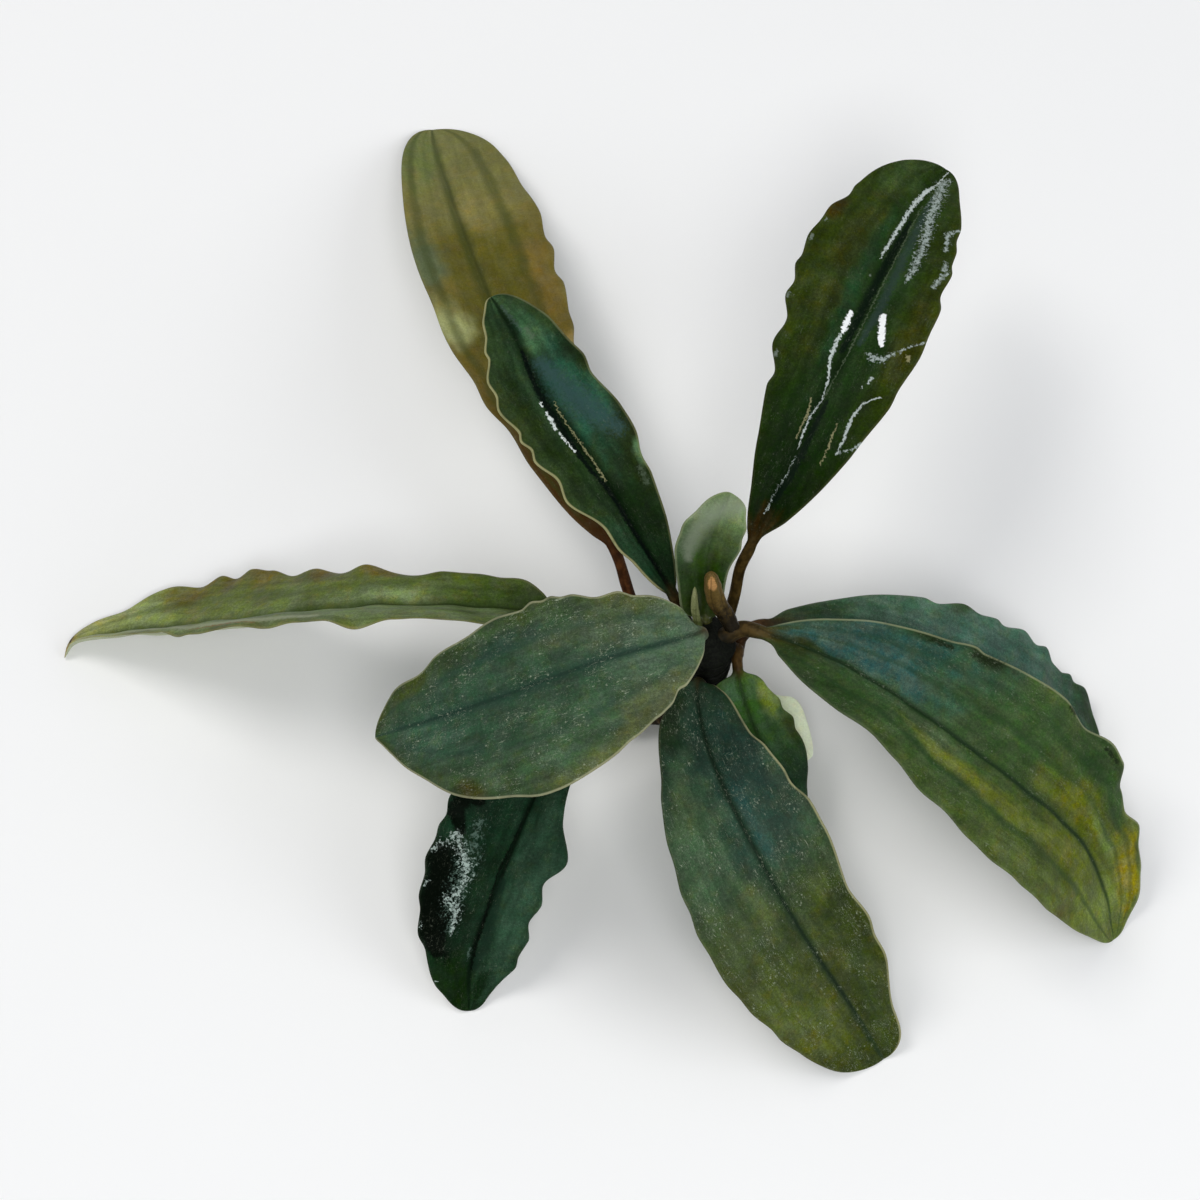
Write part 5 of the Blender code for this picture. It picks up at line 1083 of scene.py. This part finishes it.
# A shoot: a tube whose radius follows a spline and closes at the tip, with lengthwise folds that
# twist round it, painted shade darkening the folds, and with a pale patch on one side near the tip
def buildShoot(shoot, seed):
    make, sides = shootMake, shootMake["sides"]
    shares = np.linspace(0, 0.88, make["rows"])
    shares = np.append(shares, 1 - 0.12 * np.linspace(1, 0, 26)[1:-1] ** 1.8)
    place, way, length = walk(shoot["path"], shares)
    radii = naturalSpline([0, 0.5, 1], np.reshape(shoot["radii"], (3, 1)), shares)[:, 0]
    radii = radii * np.sqrt(1 - shares**6)
    angle = 2 * math.pi * np.arange(sides) / sides
    folds = np.abs(np.sin(shoot["folds"] / 2 * angle[None] + make["twist"] * shares[:, None]))
    lumps = make["lumps"] * drift(shares[:, None] * length, angle[None], 1.5, seed)
    shape = radii[:, None] * (1 + shoot["ridge"] * (folds - 1) + lumps - make["lumps"])
    rings = tubeRings(place, way, shape, sides, (1, 0, 0))
    tip = walk(shoot["path"], np.array([1.0]))[0][0]
    aside = ((angle[None] - make["patchTurn"]) / 0.75) ** 2
    patch = np.exp(-((shares[:, None] - make["patchShare"]) / 0.13) ** 2 - aside)
    values = dict(share=np.repeat(shares[:, None], sides, axis=1), fold=folds, patch=patch)
    piece = ringMesh(shoot["node"] + "_skin", rings, tip, values)
    material, tree, shader = emptyMaterial(shoot["node"])
    spot = millimetres(tree)
    coarse, fine = noise(tree, spot, 1.6, 5.0, 0.65, 0.5), noise(tree, spot, 6.0, 3.0, 0.6)
    low, high = tone(shoot["low"]), tone(shoot["high"])
    uneven = calc(tree, "SUBTRACT", coarse, 0.5)
    rise = calc(tree, "ADD", attribute(tree, "share"), calc(tree, "MULTIPLY", uneven, 0.8))
    colour = blend(tree, span(tree, rise, 0.15, 0.7), tuple(low), tuple(high))
    patch = calc(tree, "ADD", attribute(tree, "patch"), calc(tree, "MULTIPLY", uneven, 0.9))
    colour = blend(tree, span(tree, patch, 0.4, 0.65), colour, tuple(tone(shoot["tip"])))
    # Painted shade: the colour darkens in the folds' grooves.
    dark = calc(tree, "MULTIPLY", span(tree, attribute(tree, "fold"), 0.0, 0.35, 1.0, 0.0), 0.55)
    colour = blend(tree, dark, colour, tuple(low * 0.4))
    colour = blend(tree, 1.0, colour, grey(tree, span(tree, fine, 0.3, 0.7, 0.82, 1.18)), "MULTIPLY")
    dress(tree, shader, colour, span(tree, coarse, 0.3, 0.7, 0.4, 0.6), 0.12, coarse, 0.00008)
    piece.data.materials.append(material)
    settle(piece, shoot["node"])


# Roots, with the CAD's paths
roots = dict(
    radius=0.42, tipRadius=0.12, sides=16, rows=90, sway=0.35,
    tone=(104, 82, 58), tipTone=(176, 168, 140),
    paths=[[(-18.5, -5.6, 1.3), (-20.0, -7.4, 0.6), (-23.5, -8.6, 0.5), (-27.0, -7.0, 0.5)],
           [(-13.4, -5.2, 1.3), (-13.9, -6.4, 0.6), (-16.4, -7.0, 0.5), (-18.2, -9.0, 0.5)],
           [(-17.5, 0.8, 1.3), (-18.2, 2.6, 0.6), (-21.5, 4.2, 0.5), (-25.5, 3.4, 0.5)],
           [(-12.5, 1.3, 1.3), (-13.0, 3.2, 0.6), (-12.2, 6.2, 0.5), (-14.5, 9.5, 0.5)],
           [(-8.4, 2.0, 1.3), (-8.2, 3.8, 0.6), (-6.2, 6.0, 0.5), (-7.4, 9.0, 0.5)]],
)


# A root: a thin tube that wanders a little about its path and tapers to the tip
def buildRoots():
    material, tree, shader = emptyMaterial("root")
    spot = millimetres(tree)
    coarse = noise(tree, spot, 1.3, 4.0, 0.65)
    base = tone(roots["tone"])
    colour = blend(tree, span(tree, coarse, 0.35, 0.65), tuple(base * 0.5), tuple(base * 1.3))
    fresh = span(tree, attribute(tree, "share"), 0.75, 1.0)
    colour = blend(tree, fresh, colour, tuple(tone(roots["tipTone"])))
    dress(tree, shader, colour, 0.7, 0.5, noise(tree, spot, 5.0, 3.0), 0.0001)
    axis = rhizomeAxis()
    for number, path in enumerate(roots["paths"], 1):
        inner = axis[np.linalg.norm(axis[:, :2] - path[0][:2], axis=1).argmin()]
        start = np.array(path[0]) + (inner - path[0]) * 0.35
        shares = np.linspace(0, 0.99, roots["rows"])
        place, way, length = walk([start, *path], shares)
        sway = drift(shares * length, 0 * shares, 3.0, 60 + number) * smoothStep(shares, 0.1, 0.5)
        place = place + np.cross(way, (0, 0, 1)) * sway[:, None] * roots["sway"]
        radii = roots["radius"] + (roots["tipRadius"] - roots["radius"]) * shares
        rings = tubeRings(place, way, radii, roots["sides"], (0, 0, 1))
        raiseRings(rings)
        tip = rings[-1].mean(axis=0) + way[-1] * 0.1
        values = dict(share=np.repeat(shares[:, None], roots["sides"], axis=1))
        piece = ringMesh("root_%d_strand" % number, rings, tip, values)
        piece.data.materials.append(material)
        settle(piece, "root_%d" % number)


# Camera at the photograph's angle, in millimetres
view = dict(place=(-4.274, -127.157, 390.124), elevation=70, lens=100, sensor=36)


# The camera at its place, tipped down from level by the elevation
def setCamera():
    data = bpy.data.cameras.new("camera")
    data.lens, data.sensor_width = view["lens"], view["sensor"]
    data.clip_start, data.clip_end = 0.01, 20
    camera = bpy.data.objects.new("camera", data)
    camera.location = np.array(view["place"]) * mm
    camera.rotation_euler = (math.radians(90 - view["elevation"]), 0, 0)
    bpy.context.scene.collection.objects.link(camera)
    bpy.context.scene.camera = camera


# Studio: soft boxes (place, aim, size, power and colour), the world's light and a pale floor
studio = dict(
    boxes=[("key_box", (-0.33, 0.22, 0.62), (0, 0, 0.02), 0.3, 1.8, (1.0, 0.98, 0.95)),
           ("fill_box", (0.6, -0.15, 0.5), (0, 0, 0.02), 0.5, 1.5, (0.96, 0.98, 1.0)),
           ("front_box", (0.05, -0.32, 0.62), (0, 0, 0.02), 0.3, 1.8, (1.0, 1.0, 1.0))],
    horizon=(0.47, 0.48, 0.5), zenith=(0.27, 0.28, 0.3), floor=(0.9, 0.9, 0.895),
)


# Turns a light to its target: tipped by the angle off straight down, then swung round to it
def aimAt(piece, target):
    way = np.asarray(target, float) - np.asarray(piece.location, float)
    flat = math.hypot(way[0], way[1])
    piece.rotation_euler = (math.atan2(flat, -way[2]), 0, math.atan2(way[1], way[0]) - math.pi / 2)


# The boxes, a sky that darkens with height, and the floor a tenth of a millimetre below zero
def setStudio():
    for name, place, aim, size, power, colour in studio["boxes"]:
        data = bpy.data.lights.new(name, "AREA")
        data.shape, data.size, data.energy, data.color = "SQUARE", size, power, colour
        light = bpy.data.objects.new(name, data)
        light.location = place
        aimAt(light, aim)
        bpy.context.scene.collection.objects.link(light)
    world = bpy.data.worlds.new("studio")
    world.use_nodes = True
    way = node(world.node_tree, "ShaderNodeTexCoord").outputs["Generated"]
    rise = node(world.node_tree, "ShaderNodeSeparateXYZ", {0: way}).outputs[2]
    sky = blend(world.node_tree, span(world.node_tree, rise, 0.1, 0.9), studio["horizon"], studio["zenith"])
    plug(world.node_tree, world.node_tree.nodes["Background"].inputs["Color"], sky)
    bpy.context.scene.world = world
    bpy.context.scene.view_settings.view_transform = "Standard"
    mesh = bpy.data.meshes.new("floor")
    low, size = -0.0001, 3.0
    corners = [(-size, -size, low), (size, -size, low), (size, size, low), (-size, size, low)]
    mesh.from_pydata(corners, [], [(0, 1, 2, 3)])
    floor = bpy.data.objects.new("floor", mesh)
    material, tree, shader = emptyMaterial("floor")
    spot = millimetres(tree)
    pale = np.array(studio["floor"])
    colour = blend(tree, noise(tree, spot, 0.02, 3.0), tuple(pale * 0.995), tuple(pale * 1.005))
    dress(tree, shader, colour, 0.9, 0.1)
    mesh.materials.append(material)
    bpy.context.scene.collection.objects.link(floor)


buildRhizome()
print("rhizome built")
for number, leaf in enumerate(leaves):
    buildLeaf(leaf, 100 + 7 * number)
print("leaves built:", len(leaves))
for number, shoot in enumerate(shoots):
    buildShoot(shoot, 400 + number)
buildRoots()
print("shoots and roots built")
setCamera()
setStudio()
print("camera and studio set")
